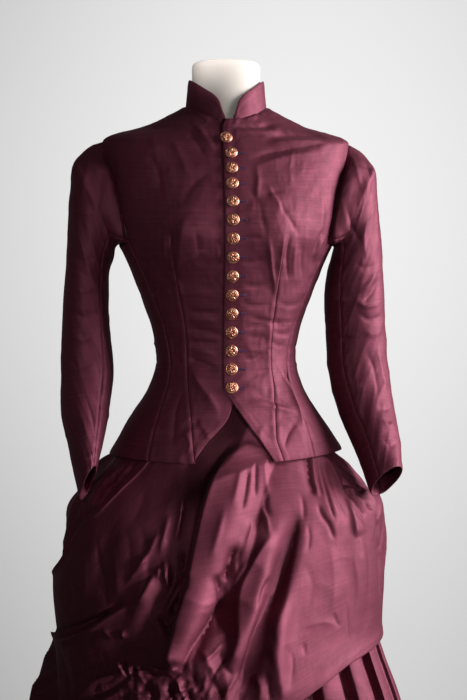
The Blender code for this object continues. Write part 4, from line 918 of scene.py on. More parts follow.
@dataclass(frozen=True)
class BodiceForm:
    """The bodice's outer surface, and where its seams and edges run."""

    hem_tilt: float = 0.0035
    bust_swell: float = 0.019
    bust: Point = (0.074, 1.232)
    bust_spread: Point = (0.052, 0.056)
    bust_bridge: float = 0.028
    lap_width: float = 0.012
    lap_lift: float = 0.0026
    lap_fade: float = 0.060
    armpit: float = 8.0
    side_back_top: float = 10.5
    shoulder: float = 11.0
    neckline: float = 13.0
    rings: Table = Table(
        "level front_z side_z back_z half_width front back",
        (0.0, 0.864, 0.877, 0.889, 0.1900, 0.1340, 0.2380),
        (1.0, 0.905, 0.912, 0.921, 0.1690, 0.1240, 0.1860),
        (2.0, 0.945, 0.949, 0.954, 0.1450, 0.1120, 0.1380),
        (3.0, 0.985, 0.986, 0.988, 0.1240, 0.0985, 0.0940),
        (4.0, 1.028, 1.028, 1.028, 0.1140, 0.0910, 0.0765),
        (5.0, 1.075, 1.075, 1.075, 0.1205, 0.0965, 0.0800),
        (6.0, 1.123, 1.123, 1.123, 0.1370, 0.1050, 0.0895),
        (7.0, 1.169, 1.169, 1.169, 0.1545, 0.1130, 0.0985),
        (8.0, 1.215, 1.213, 1.215, 0.1740, 0.1165, 0.1045),
        (9.0, 1.262, 1.262, 1.265, 0.1880, 0.1130, 0.1080),
        (10.0, 1.312, 1.322, 1.318, 0.1960, 0.1020, 0.1050),
        (11.0, 1.351, 1.377, 1.366, 0.2010, 0.0880, 0.0930),
        (12.0, 1.384, 1.405, 1.412, 0.1280, 0.0730, 0.0740),
        (13.0, 1.410, 1.436, 1.447, 0.0660, 0.0600, 0.0600),
    )
    seams: Table = Table(
        "level side_front side_back centre_back",
        (0.0, 44.0, 101.0, 148.0),
        (2.0, 50.0, 101.0, 158.0),
        (4.0, 56.0, 101.0, 163.0),
        (6.0, 62.0, 102.0, 158.0),
        (8.0, 67.0, 104.0, 148.0),
        (9.0, 68.0, 108.0, 136.0),
        (10.0, 74.0, 109.0, 118.0),
        (10.5, 80.0, 104.0, 106.5),
    )
    armholes: Table = Table(
        "level front back",
        (8.0, 67.0, 104.0),
        (8.6, 66.5, 109.0),
        (9.4, 68.0, 111.0),
        (10.0, 72.0, 109.0),
        (10.5, 78.0, 105.0),
        (10.8, 82.0, 100.5),
        (10.93, 85.3, 96.0),
        (11.0, 90.0, 90.0),
    )
    edges: Table = Table(
        "level left right",
        (0.0, 0.0660, 0.0640),
        (0.8, 0.0440, 0.0400),
        (1.6, 0.0210, 0.0100),
        (2.3, 0.0020, -0.0015),
        (3.0, -0.0120, -0.0080),
        (12.4, -0.0120, -0.0080),
        (13.0, -0.0060, -0.0020),
    )
    darts: Table = Table(
        "level left right",
        (0.0, 0.0800, 0.0600),
        (1.0, 0.0690, 0.0630),
        (2.0, 0.0690, 0.0650),
        (3.0, 0.0680, 0.0680),
        (4.0, 0.0640, 0.0690),
        (5.0, 0.0670, 0.0720),
        (6.0, 0.0720, 0.0810),
        (7.0, 0.0765, 0.0885),
        (8.0, 0.0810, 0.0960),
        (10.0, 0.0860, 0.1000),
        (11.0, 0.0960, 0.1040),
        (12.0, 0.0640, 0.0640),
        (13.0, 0.0330, 0.0330),
    )

    def point(self, level: Array, angle: Array, out: Array | float = 0.0) -> Array:
        """Points of the outer surface.

        Args:
            level: Their levels.
            angle: Their angles.
            out: How far outside the surface they lie.
        Returns:
            The points, with x, y and z along the last axis.
        """
        level, angle, out = np.broadcast_arrays(level, angle, out)
        ring = self.rings.at(level)
        across, forward = turned(angle)
        depth = np.where(forward > 0.0, ring.front, ring.back)
        end_z = np.where(forward > 0.0, ring.front_z, ring.back_z)
        x = (ring.half_width + out) * across
        z = ring.side_z * across**2 + end_z * forward**2
        z = z + self.hem_tilt * across * ease(1.0 - 0.5 * level)
        y = -(depth + out) * forward
        beside = (np.hypot(x, self.bust_bridge) - self.bust[0]) / self.bust_spread[0]
        above = (z - self.bust[1]) / self.bust_spread[1]
        y = y - self.bust_swell * np.exp(-(beside**2) - above**2) * ease(forward * 2.0)
        return np.stack([x, y, z], axis=-1)

    def lift(self, x: Array) -> Array:
        """How far the lapping front stands off the one under it."""
        return self.lap_lift * ease((self.lap_fade - x) / (self.lap_fade - self.lap_width))

    def hem_z(self, angle: Array) -> Array:
        """The height of the bodice's lower edge."""
        return self.point(0.0, angle)[..., 2]

    def seam(self, name: str) -> Seam:
        """What gives a seam's angle at a level."""
        return lambda level: getattr(self.seams.at(level), name)

    def front_outer(self, level: Array) -> Array:
        """The angle of a front's side seam, then of the armhole, then of the shoulder seam.

        Args:
            level: The level.
        Returns:
            The angle, on the wearer's left.
        """
        hole = self.armholes.at(level).front
        found = np.where(level <= self.armpit, self.seams.at(level).side_front, hole)
        return np.where(level >= self.shoulder, 90.0, found)

    def back_outer(self, level: Array) -> Array:
        """The angle of a centre back's outer seam, then of the armhole, then of the shoulder seam.

        Args:
            level: The level.
        Returns:
            The angle, on the wearer's left.
        """
        hole = self.armholes.at(level).back
        found = np.where(level <= self.side_back_top, self.seams.at(level).centre_back, hole)
        return np.where(level >= self.shoulder, 90.0, found)

    def side_back_outer(self, level: Array) -> Array:
        """The angle of a side back's outer seam, and of the armhole above it."""
        return np.where(level <= self.armpit, self.seams.at(level).side_back, self.armholes.at(level).back)

    def angle_of(self, level: Array, x: Array) -> Array:
        """The angle at which the surface is that far across."""
        share = np.clip(x / self.rings.at(level).half_width, -0.98, 0.98)
        return np.degrees(np.arcsin(share))


@dataclass(frozen=True)
class SkirtForm:
    """The plain skirt's outer surface, its pleats, and how its drapery stands off it."""

    hem: float = 0.014
    waist: float = 1.000
    pleats: int = 24
    pleat_depth: float = 0.020
    pleat_start: float = 0.90
    pleat_full: float = 0.55
    girths: Table = Table(
        "height half_width front back",
        (0.014, 0.4000, 0.3150, 0.4500),
        (0.200, 0.3590, 0.2800, 0.4040),
        (0.350, 0.3210, 0.2480, 0.3680),
        (0.450, 0.2930, 0.2230, 0.3460),
        (0.500, 0.2765, 0.2090, 0.3350),
        (0.550, 0.2580, 0.1950, 0.3260),
        (0.600, 0.2430, 0.1810, 0.3180),
        (0.700, 0.2320, 0.1600, 0.3050),
        (0.800, 0.2080, 0.1370, 0.2760),
        (0.880, 0.1710, 0.1140, 0.2140),
        (0.920, 0.1480, 0.1050, 0.1600),
        (0.960, 0.1270, 0.0960, 0.1100),
        (1.000, 0.1113, 0.0884, 0.0738),
    )

    def point(self, height: Array, angle: Array, out: Array | float = 0.0) -> Array:
        """Points of the plain skirt's surface, moved out by that much.

        Args:
            height: Their heights.
            angle: Their angles.
            out: How far outside the surface they lie.
        Returns:
            The points, with x, y and z along the last axis.
        """
        height, angle, out = np.broadcast_arrays(height, angle, out)
        girth = self.girths.at(height)
        across, forward = turned(angle)
        depth = np.where(forward > 0.0, girth.front, girth.back)
        return np.stack([(girth.half_width + out) * across, -(depth + out) * forward, height], axis=-1)

    def pleat_out(self, height: Array) -> Array:
        """How deep the pleats are at this height."""
        return self.pleat_depth * ease((self.pleat_start - height) / (self.pleat_start - self.pleat_full))


def side_blend(row: SimpleNamespace, angle: Array) -> Array:
    """A stand-off at an angle, from its values for the front, the two sides and the back.

    Args:
        row: The values named left, right, front and back.
        angle: The angle.
    Returns:
        The value there.
    """
    across, forward = turned(angle)
    side = np.where(across > 0.0, row.left, row.right)
    end = np.where(forward > 0.0, row.front, row.back)
    return side * across**2 + end * forward**2


@dataclass(frozen=True)
class DraperyForm:
    """The apron's and the puffs' lines, and how far each stands off the skirt."""

    skirt: SkirtForm = SkirtForm()
    bodice: BodiceForm = BodiceForm()
    tuck_return: float = 0.022
    tuck_step: float = 0.0070
    under_layer: float = 0.0055
    under_puff: float = 0.0090
    gathers: int = 13
    gather_depth: float = 0.006
    lower_top: float = 0.800
    lines: Table = Table(
        "turn top tuck_a tuck_b hem depth_a depth_b",
        (-98.0, 0.680, 0.584, 0.474, 0.372, 1.0, 1.0),
        (-86.0, 0.692, 0.590, 0.490, 0.366, 1.0, 1.0),
        (-75.0, 0.715, 0.600, 0.506, 0.366, 1.0, 1.0),
        (-64.0, 0.775, 0.612, 0.521, 0.373, 0.95, 0.95),
        (-55.0, 0.795, 0.624, 0.539, 0.382, 0.75, 0.85),
        (-48.0, 0.838, 0.639, 0.548, 0.390, 0.45, 0.75),
        (-42.0, 0.885, 0.651, 0.555, 0.398, 0.20, 0.60),
        (-34.0, 0.940, 0.662, 0.560, 0.410, 0.0, 0.40),
        (-22.0, 0.988, 0.683, 0.568, 0.430, 0.0, 0.12),
        (-12.0, 0.9997, 0.700, 0.578, 0.449, 0.0, 0.0),
        (0.0, 0.9997, 0.720, 0.595, 0.469, 0.0, 0.0),
        (15.0, 0.9997, 0.738, 0.620, 0.503, 0.0, 0.0),
        (28.0, 0.984, 0.748, 0.636, 0.532, 0.0, 0.0),
        (40.0, 0.938, 0.755, 0.650, 0.555, 0.0, 0.0),
        (48.0, 0.898, 0.755, 0.656, 0.563, 0.0, 0.0),
        (53.0, 0.872, 0.752, 0.658, 0.567, 0.0, 0.0),
        (58.0, 0.845, 0.748, 0.660, 0.570, 0.0, 0.0),
        (66.0, 0.822, 0.742, 0.660, 0.575, 0.0, 0.0),
        (75.0, 0.814, 0.737, 0.659, 0.579, 0.0, 0.0),
        (86.0, 0.808, 0.730, 0.658, 0.582, 0.0, 0.0),
        (98.0, 0.801, 0.724, 0.655, 0.584, 0.0, 0.0),
    )
    tucked_edge: Table = Table(
        "height angle",
        (0.360, 60.0), (0.480, 66.0), (0.516, 76.0), (0.550, 87.0), (0.590, 94.0), (0.700, 98.0),
    )
    apron_stand: Table = Table(
        "height front right left back",
        (0.340, 0.018, 0.004, 0.008, 0.0),
        (0.500, 0.022, 0.005, 0.008, 0.0),
        (0.550, 0.024, 0.013, 0.008, 0.0),
        (0.584, 0.026, 0.027, 0.009, 0.0),
        (0.620, 0.027, 0.038, 0.016, 0.0),
        (0.660, 0.028, 0.0445, 0.022, 0.0),
        (0.700, 0.028, 0.0455, 0.027, 0.0),
        (0.750, 0.026, 0.0450, 0.038, 0.0),
        (0.790, 0.022, 0.0460, 0.046, 0.0),
        (0.820, 0.0165, 0.0350, 0.037, 0.0),
        (0.850, 0.0105, 0.0145, 0.021, 0.0),
        (0.880, 0.0075, 0.0075, 0.0080, 0.0),
        (0.920, 0.0060, 0.0065, 0.0065, 0.0),
        (0.960, 0.0042, 0.0042, 0.0042, 0.0),
        (1.000, 0.0022, 0.0022, 0.0022, 0.0),
    )
    upper_edge: Table = Table(
        "turn bottom",
        (50.0, 0.858), (58.0, 0.825), (66.0, 0.805), (86.0, 0.790), (120.0, 0.788), (180.0, 0.792),
        (220.0, 0.765), (245.0, 0.705), (262.0, 0.668), (275.0, 0.672), (285.0, 0.697), (296.0, 0.752),
        (305.0, 0.776), (314.0, 0.812),
    )
    lower_edge: Table = Table(
        "turn bottom",
        (84.0, 0.605), (120.0, 0.580), (180.0, 0.530), (240.0, 0.455), (270.0, 0.425), (306.0, 0.415),
    )
    upper_stand: Table = Table(
        "share front right left back",
        (0.00, 0.008, 0.030, 0.032, 0.034),
        (0.08, 0.010, 0.033, 0.035, 0.056),
        (0.28, 0.012, 0.038, 0.0400, 0.076),
        (0.45, 0.012, 0.043, 0.0385, 0.080),
        (0.62, 0.012, 0.047, 0.0345, 0.080),
        (0.78, 0.012, 0.042, 0.0290, 0.072),
        (0.92, 0.010, 0.030, 0.0220, 0.050),
        (1.00, 0.008, 0.0115, 0.0115, 0.018),
    )
    lower_stand: Table = Table(
        "share front right left back",
        (0.00, 0.004, 0.006, 0.005, 0.006),
        (0.06, 0.010, 0.020, 0.012, 0.030),
        (0.18, 0.020, 0.034, 0.018, 0.056),
        (0.32, 0.022, 0.036, 0.024, 0.068),
        (0.50, 0.024, 0.032, 0.030, 0.076),
        (0.75, 0.026, 0.034, 0.037, 0.074),
        (0.92, 0.018, 0.030, 0.032, 0.052),
        (1.00, 0.010, 0.0235, 0.0235, 0.026),
    )
    folds: tuple[tuple[float, ...], ...] = (
        (0.030, 0.880, -0.060, 0.660, 0.026, 0.013),
        (-0.050, 0.690, -0.098, 0.530, 0.020, 0.010),
        (0.004, 0.720, -0.030, 0.560, 0.018, -0.011),
        (0.062, 0.760, 0.004, 0.560, 0.016, 0.010),
        (0.095, 0.785, 0.030, 0.600, 0.017, -0.012),
        (0.040, 0.620, -0.010, 0.480, 0.018, -0.010),
        (0.066, 0.690, 0.050, 0.520, 0.018, 0.012),
        (-0.190, 0.780, -0.205, 0.660, 0.016, -0.006),
        (-0.120, 0.700, -0.165, 0.600, 0.016, 0.006),
        (0.190, 0.780, 0.215, 0.640, 0.018, 0.006),
        (0.150, 0.850, 0.158, 0.740, 0.014, 0.006),
    )

    def fold_height(self, x: Array, z: Array) -> Array:
        """How far the apron's largest folds stand out or sink in, seen from the front.

        Args:
            x: Distances across.
            z: Heights.
        Returns:
            The distances, in metres.
        """
        total = np.zeros(np.shape(x))
        for x0, z0, x1, z1, half_width, height in self.folds:
            run_x, run_z = x1 - x0, z1 - z0
            share = ((x - x0) * run_x + (z - z0) * run_z) / (run_x**2 + run_z**2)
            apart = (x - x0 - run_x * share) ** 2 + (z - z0 - run_z * share) ** 2
            fade = ease(1.6 * (share + 0.15)) * ease(1.6 * (1.15 - share))
            total = total + height * fade * np.exp(-apart / half_width**2)
        return total

    @staticmethod
    def falling_folds(turn: Array, share: Array, period: float, seed: int) -> Array:
        """Uneven folds that fall from a gathered edge, with sharp crests and round hollows, from -1 to 1.

        Args:
            turn: Angles round the skirt, in degrees.
            share: Shares of the piece's height.
            period: A fold's mean width, in degrees.
            seed: Fixes the pattern.
        Returns:
            How far each place stands out.
        """
        phase = turn / period + 0.60 * soft_noise(turn / (2.3 * period) + 40.0, 1.7 * share, seed)
        crest = 1.0 - 1.7 * (np.sin(math.pi * phase) ** 2 + 0.015) ** 0.42
        size = 0.60 + 0.45 * soft_noise(turn / (1.4 * period) + 40.0, 1.3 * share, seed + 1)
        return crest * size

    def apron_out(self, height: Array, angle: Array) -> Array:
        """How far the apron stands off the skirt, with its folds, which die out under the bodice.

        Args:
            height: Heights.
            angle: Angles.
        Returns:
            The distances, in metres.
        """
        out = side_blend(self.apron_stand.at(height), angle)
        place = self.skirt.point(height, angle, out)
        return out + self.fold_height(place[..., 0], place[..., 2]) * ease((0.865 - height) / 0.05)

    def under_apron(self, height: Array, turn: Array, out: Array) -> Array:
        """A puff's stand-off, held in where the apron lies over it.

        Args:
            height: Heights.
            turn: Angles, from 0 to 360.
            out: The stand-off that it would have.
        Returns:
            The stand-off that it has.
        """
        angle = np.where(turn < 180.0, turn, turn - 360.0)
        edge = np.where(angle < 0.0, self.tucked_edge.at(height).angle, 98.0)
        past = np.maximum(0.0, abs(angle) - edge - 6.0)
        held = self.apron_out(height, angle) - self.under_layer
        return np.minimum(out, held + 0.060 * ease(past / 18.0))

    def gather(self, turn: Array, share: Array) -> Array:
        """The gathers round a puff, fullest between its edges."""
        return self.gather_depth * np.sin(math.pi * share) * np.sin(np.radians(turn * self.gathers + 90.0))

    def puff_top(self, turn: Array) -> Array:
        """The height at which the upper puff goes under the bodice."""
        return self.bodice.hem_z(turn) - 0.0005

    def upper_out(self, share: Array, turn: Array) -> tuple[Array, Array]:
        """The upper puff's height, and how far it stands off the skirt, at a share of its height.

        Args:
            share: Shares of its height.
            turn: Angles, from 0 to 360.
        Returns:
            The heights and the distances.
        """
        bottom = self.upper_edge.at(turn).bottom
        height = bottom + (self.puff_top(turn) - bottom) * share
        out = side_blend(self.upper_stand.at(share), turn) + self.gather(turn, share)
        return height, self.under_apron(height, turn, out)

    def lower_out(self, share: Array, turn: Array) -> tuple[Array, Array]:
        """The lower puff's height, and how far it stands off the skirt, at a share of its height.

        Args:
            share: Shares of its height.
            turn: Angles, from 0 to 360.
        Returns:
            The heights and the distances.
        """
        bottom = self.lower_edge.at(turn).bottom
        height = bottom + (self.lower_top - bottom) * share
        out = side_blend(self.lower_stand.at(share), turn) + self.gather(turn, share)
        out = self.under_apron(height, turn, out)
        edge = self.upper_edge.at(turn).bottom
        reach = np.maximum(0.0, (height - edge) / (self.puff_top(turn) - edge))
        past = np.maximum(0.0, edge - 0.045 - height)
        held = self.upper_out(reach, turn)[1] - self.under_puff
        return height, np.minimum(out, held + 0.060 * ease(past / 0.120))


# ---------------------------------------------------------------- finishes

Value = float | tuple[float, ...] | bpy.types.NodeSocket


class Graph:
    """Adds nodes to a tree, with their inputs set or linked as they are made."""

    def __init__(self, tree: bpy.types.NodeTree) -> None:
        """Work on this tree."""
        self.tree = tree

    def add(
        self, kind: str, inputs: dict[str | int, Value] | None = None, **settings: object
    ) -> bpy.types.Node:
        """A new node.

        Args:
            kind: The node's type.
            inputs: A value or a socket for each named or numbered input.
            settings: The node's own properties.
        Returns:
            The node.
        """
        node = self.tree.nodes.new(kind)
        for name, value in settings.items():
            setattr(node, name, value)
        self.feed(node, inputs or {})
        return node

    def feed(self, node: bpy.types.Node, inputs: dict[str | int, Value]) -> None:
        """Link a node's inputs to sockets, and set those whose value is constant on the node itself."""
        for key, value in inputs.items():
            socket = node.inputs[key]
            if isinstance(value, bpy.types.NodeSocket):
                self.tree.links.new(value, socket)
            else:
                socket.default_value = value

    def ramp(self, value: Value, given: Point, wanted: Point = (0.0, 1.0)) -> bpy.types.NodeSocket:
        """A value moved from one range to another, and held inside it."""
        inputs = {0: value, 1: given[0], 2: given[1], 3: wanted[0], 4: wanted[1]}
        return self.add("ShaderNodeMapRange", inputs).outputs[0]

    def sum(self, kind: str, first: Value, second: Value = 0.0, third: Value = 0.0) -> bpy.types.NodeSocket:
        """The result of a Math node."""
        return self.add("ShaderNodeMath", {0: first, 1: second, 2: third}, operation=kind).outputs[0]

    def mix(self, share: Value, first: Value, second: Value) -> bpy.types.NodeSocket:
        """A colour between two others."""
        return self.add("ShaderNodeMix", {0: share, 6: first, 7: second}, data_type="RGBA").outputs[2]

    def stretched_noise(
        self, place: Value, scale: tuple[float, float, float], detail: float = 2.0, roughness: float = 0.5
    ) -> bpy.types.NodeSocket:
        """Noise whose humps have their own size each way.

        Args:
            place: Where it is looked up.
            scale: How many humps a unit has each way.
            detail: How many finer layers it has.
            roughness: How strong those are.
        Returns:
            The noise.
        """
        mapped = self.add("ShaderNodeVectorMath", {0: place, 1: scale}, operation="MULTIPLY").outputs[0]
        inputs = {"Vector": mapped, "Scale": 1.0, "Detail": detail, "Roughness": roughness}
        return self.add("ShaderNodeTexNoise", inputs).outputs["Fac"]

    def bumped(self, height: Value, strength: float, distance: float, **under: Value) -> bpy.types.NodeSocket:
        """The normal of a relief of this height, over the normal given as Normal where there is one."""
        inputs = {"Height": height, "Strength": strength, "Distance": distance, **under}
        return self.add("ShaderNodeBump", inputs).outputs[0]


def new_material(name: str) -> tuple[bpy.types.Material, Graph, bpy.types.Node]:
    """A material, its graph and its shader, emptied of the defaults.

    Args:
        name: The material's name.
    Returns:
        All three.
    """
    material = bpy.data.materials.new(name)
    material.use_nodes = True
    tree = material.node_tree
    tree.nodes.clear()
    graph = Graph(tree)
    shader = graph.add("ShaderNodeBsdfPrincipled")
    graph.add("ShaderNodeOutputMaterial", {"Surface": shader.outputs["BSDF"]})
    return material, graph, shader


def rgba(colour: Colour) -> tuple[float, float, float, float]:
    """A colour with full opacity."""
    return (*colour, 1.0)


@dataclass(frozen=True)
class Silk:
    """Crisp ribbed taffeta: a fine cross rib, slubs, faint crumples, a cool, rosy sheen and painted shade.

    Attributes:
        warp: Its colour along the grain.
        weft: Its colour across it, which the light brings out.
        worn: Its duller colour in patches.
        painted_shade: The near-black of painted shade, laid where a piece marks the cloth as lying in shadow.
    """

    warp: Colour = (0.150, 0.021, 0.043)
    weft: Colour = (0.250, 0.046, 0.092)
    worn: Colour = (0.130, 0.018, 0.036)
    painted_shade: Colour = (0.030, 0.003, 0.007)
    sheen: Colour = (1.0, 0.55, 0.68)
    roughness: float = 0.66
    metallic: float = 0.90

    def material(self) -> bpy.types.Material:
        """The silk's material, laid on each piece's own cloth coordinates.

        Returns:
            The material.
        """
        material, graph, shader = new_material("taffeta")
        cloth = graph.add("ShaderNodeUVMap", uv_map="cloth").outputs["UV"]
        slub = graph.stretched_noise(cloth, (14.0, 900.0, 1.0), 2.0)
        thread = graph.stretched_noise(cloth, (1400.0, 30.0, 1.0), 1.0)
        patch = graph.stretched_noise(cloth, (9.0, 5.0, 1.0), 3.0)
        soft = graph.stretched_noise(cloth, (60.0, 45.0, 1.0), 4.0, 0.6)
        streak = graph.stretched_noise(cloth, (9.0, 280.0, 1.0), 3.0, 0.6)
        blend = graph.sum("ADD", graph.sum("MULTIPLY", slub, 0.65), graph.sum("MULTIPLY", streak, 0.35))
        blend = graph.ramp(blend, (0.30, 0.70))
        colour = graph.mix(blend, rgba(self.warp), rgba(self.weft))
        colour = graph.mix(graph.sum("MULTIPLY", patch, 0.35), colour, rgba(self.worn))
        # Painted shade: where a piece marks it, the colour is darkened towards near-black, for cloth that
        # lies in shadow.
        kept = graph.add("ShaderNodeAttribute", attribute_name="painted_shade").outputs["Fac"]
        colour = graph.mix(kept, colour, rgba(self.painted_shade))
        rib = graph.add(
            "ShaderNodeTexWave",
            {"Vector": cloth, "Scale": 330.0, "Distortion": 0.8, "Detail": 1.0},
            bands_direction="Y",
        ).outputs["Fac"]
        gloss = graph.ramp(soft, (0.3, 0.7), (self.roughness - 0.04, self.roughness + 0.08))
        fine = graph.sum("ADD", graph.sum("MULTIPLY", slub, 0.7), graph.sum("MULTIPLY", thread, 0.3))
        fine = graph.sum("ADD", fine, graph.sum("MULTIPLY", rib, 0.25))
        fine = graph.sum("ADD", fine, graph.sum("MULTIPLY", streak, 0.22))
        weave = graph.bumped(fine, 0.40, 0.0004)
        rumple = graph.bumped(soft, 0.35, 0.0020, Normal=weave)
        # The coat's gloss is cut where the shade is painted, so that the painted shade stays dark.
        coat = graph.ramp(kept, (0.0, 1.0), (0.40, 0.05))
        graph.feed(shader, {
            "Base Color": colour, "Roughness": gloss, "Normal": rumple, "Coat Weight": coat,
            "Metallic": self.metallic, "Coat Roughness": 0.60, "Sheen Weight": 0.06, "Sheen Roughness": 0.40,
            "Sheen Tint": rgba(self.sheen),
        })
        return material


@dataclass(frozen=True)
class Gilt:
    """Worn copper-gilt metal, dark in its hollows."""

    face: Colour = (0.92, 0.43, 0.28)
    hollow: Colour = (0.20, 0.045, 0.030)

    def material(self) -> bpy.types.Material:
        """The metal's material.

        Returns:
            The material.
        """
        material, graph, shader = new_material("gilt_metal")
        place = graph.add("ShaderNodeTexCoord").outputs["Object"]
        wear = graph.stretched_noise(place, (420.0, 420.0, 420.0), 4.0, 0.6)
        hollow = graph.add("ShaderNodeNewGeometry").outputs["Pointiness"]
        height = graph.ramp(hollow, (0.45, 0.53))
        share = graph.sum("MULTIPLY", height, graph.sum("ADD", wear, 0.35))
        colour = graph.mix(share, rgba(self.hollow), rgba(self.face))
        rough = graph.ramp(wear, (0.3, 0.7), (0.28, 0.44))
        pits = graph.bumped(wear, 0.2, 0.0002)
        graph.feed(shader, {"Base Color": colour, "Roughness": rough, "Normal": pits, "Metallic": 1.0})
        return material


@dataclass(frozen=True)
class Thread:
    """Twisted silk thread."""

    colour: Colour = (0.045, 0.010, 0.062)

    def material(self) -> bpy.types.Material:
        """The thread's material.

        Returns:
            The material.
        """
        material, graph, shader = new_material("buttonhole_silk")
        place = graph.add("ShaderNodeTexCoord").outputs["Object"]
        twist = graph.stretched_noise(place, (900.0, 900.0, 2600.0), 1.0)
        colour = graph.mix(twist, rgba(self.colour), rgba(tuple(min(1.0, 2.2 * c) for c in self.colour)))
        graph.feed(shader, {"Base Color": colour, "Roughness": 0.5, "Sheen Weight": 0.05})
        return material


@dataclass(frozen=True)
class Cover:
    """The form's close-woven cotton cover."""

    colour: Colour = (0.87, 0.78, 0.72)
    aged: Colour = (0.66, 0.61, 0.53)

    def material(self) -> bpy.types.Material:
        """The cover's material.

        Returns:
            The material.
        """
        material, graph, shader = new_material("form_cover")
        place = graph.add("ShaderNodeTexCoord").outputs["Object"]
        across = graph.stretched_noise(place, (900.0, 900.0, 160.0), 2.0)
        down = graph.stretched_noise(place, (160.0, 160.0, 1300.0), 2.0)
        stain = graph.stretched_noise(place, (14.0, 14.0, 9.0), 3.0)
        aged = graph.mix(graph.sum("MULTIPLY", stain, 0.4), rgba(self.colour), rgba(self.aged))
        weave = graph.sum("ADD", across, down)
        ribs = graph.bumped(weave, 0.3, 0.0003)
        graph.feed(shader, {"Base Color": aged, "Normal": ribs, "Roughness": 0.72, "Sheen Weight": 0.15})
        return material


@dataclass(frozen=True)
class Steel:
    """The stand's satin dark grey paint on steel, a little scuffed."""

    colour: Colour = (0.055, 0.055, 0.060)
    scuffed: Colour = (0.15, 0.15, 0.155)

    def material(self) -> bpy.types.Material:
        """The paint's material.

        Returns:
            The material.
        """
        material, graph, shader = new_material("stand_metal")
        place = graph.add("ShaderNodeTexCoord").outputs["Object"]
        scuff = graph.stretched_noise(place, (120.0, 120.0, 40.0), 5.0, 0.65)
        orange = graph.stretched_noise(place, (700.0, 700.0, 700.0), 2.0)
        share = graph.ramp(scuff, (0.58, 0.75), (0.0, 0.6))
        colour = graph.mix(share, rgba(self.colour), rgba(self.scuffed))
        rough = graph.ramp(scuff, (0.3, 0.7), (0.32, 0.48))
        skin = graph.bumped(orange, 0.15, 0.0002)
        graph.feed(shader, {"Base Color": colour, "Roughness": rough, "Normal": skin, "Metallic": 0.6})
        return material


# ---------------------------------------------------------------- the pieces


@dataclass
class Wardrobe:
    """Finishes pieces: gives each its material and its body, hides the solids it stands for, logs its size
    and area.
    """

    silk: bpy.types.Material

    def hang(
        self, cloth: Cloth, held: str, rests_on: tuple[str, ...], nodes: tuple[str, ...]
    ) -> None:
        """Args:
            cloth: The shell.
            held: How it is held, as the frame names it; not used.
            rests_on: The pieces that it lies on or hangs from; not used.
            nodes: The solids that it stands for.
        """
        piece = cloth.build()
        piece.data.materials.append(self.silk)
        flat, area = cloth.cut()
        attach(piece, ROOT)
        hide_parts(*nodes)
        LOG.info("%s: %.3f x %.3f m, %.4f m2, %d faces", piece.name, *flat, area, len(piece.data.polygons))


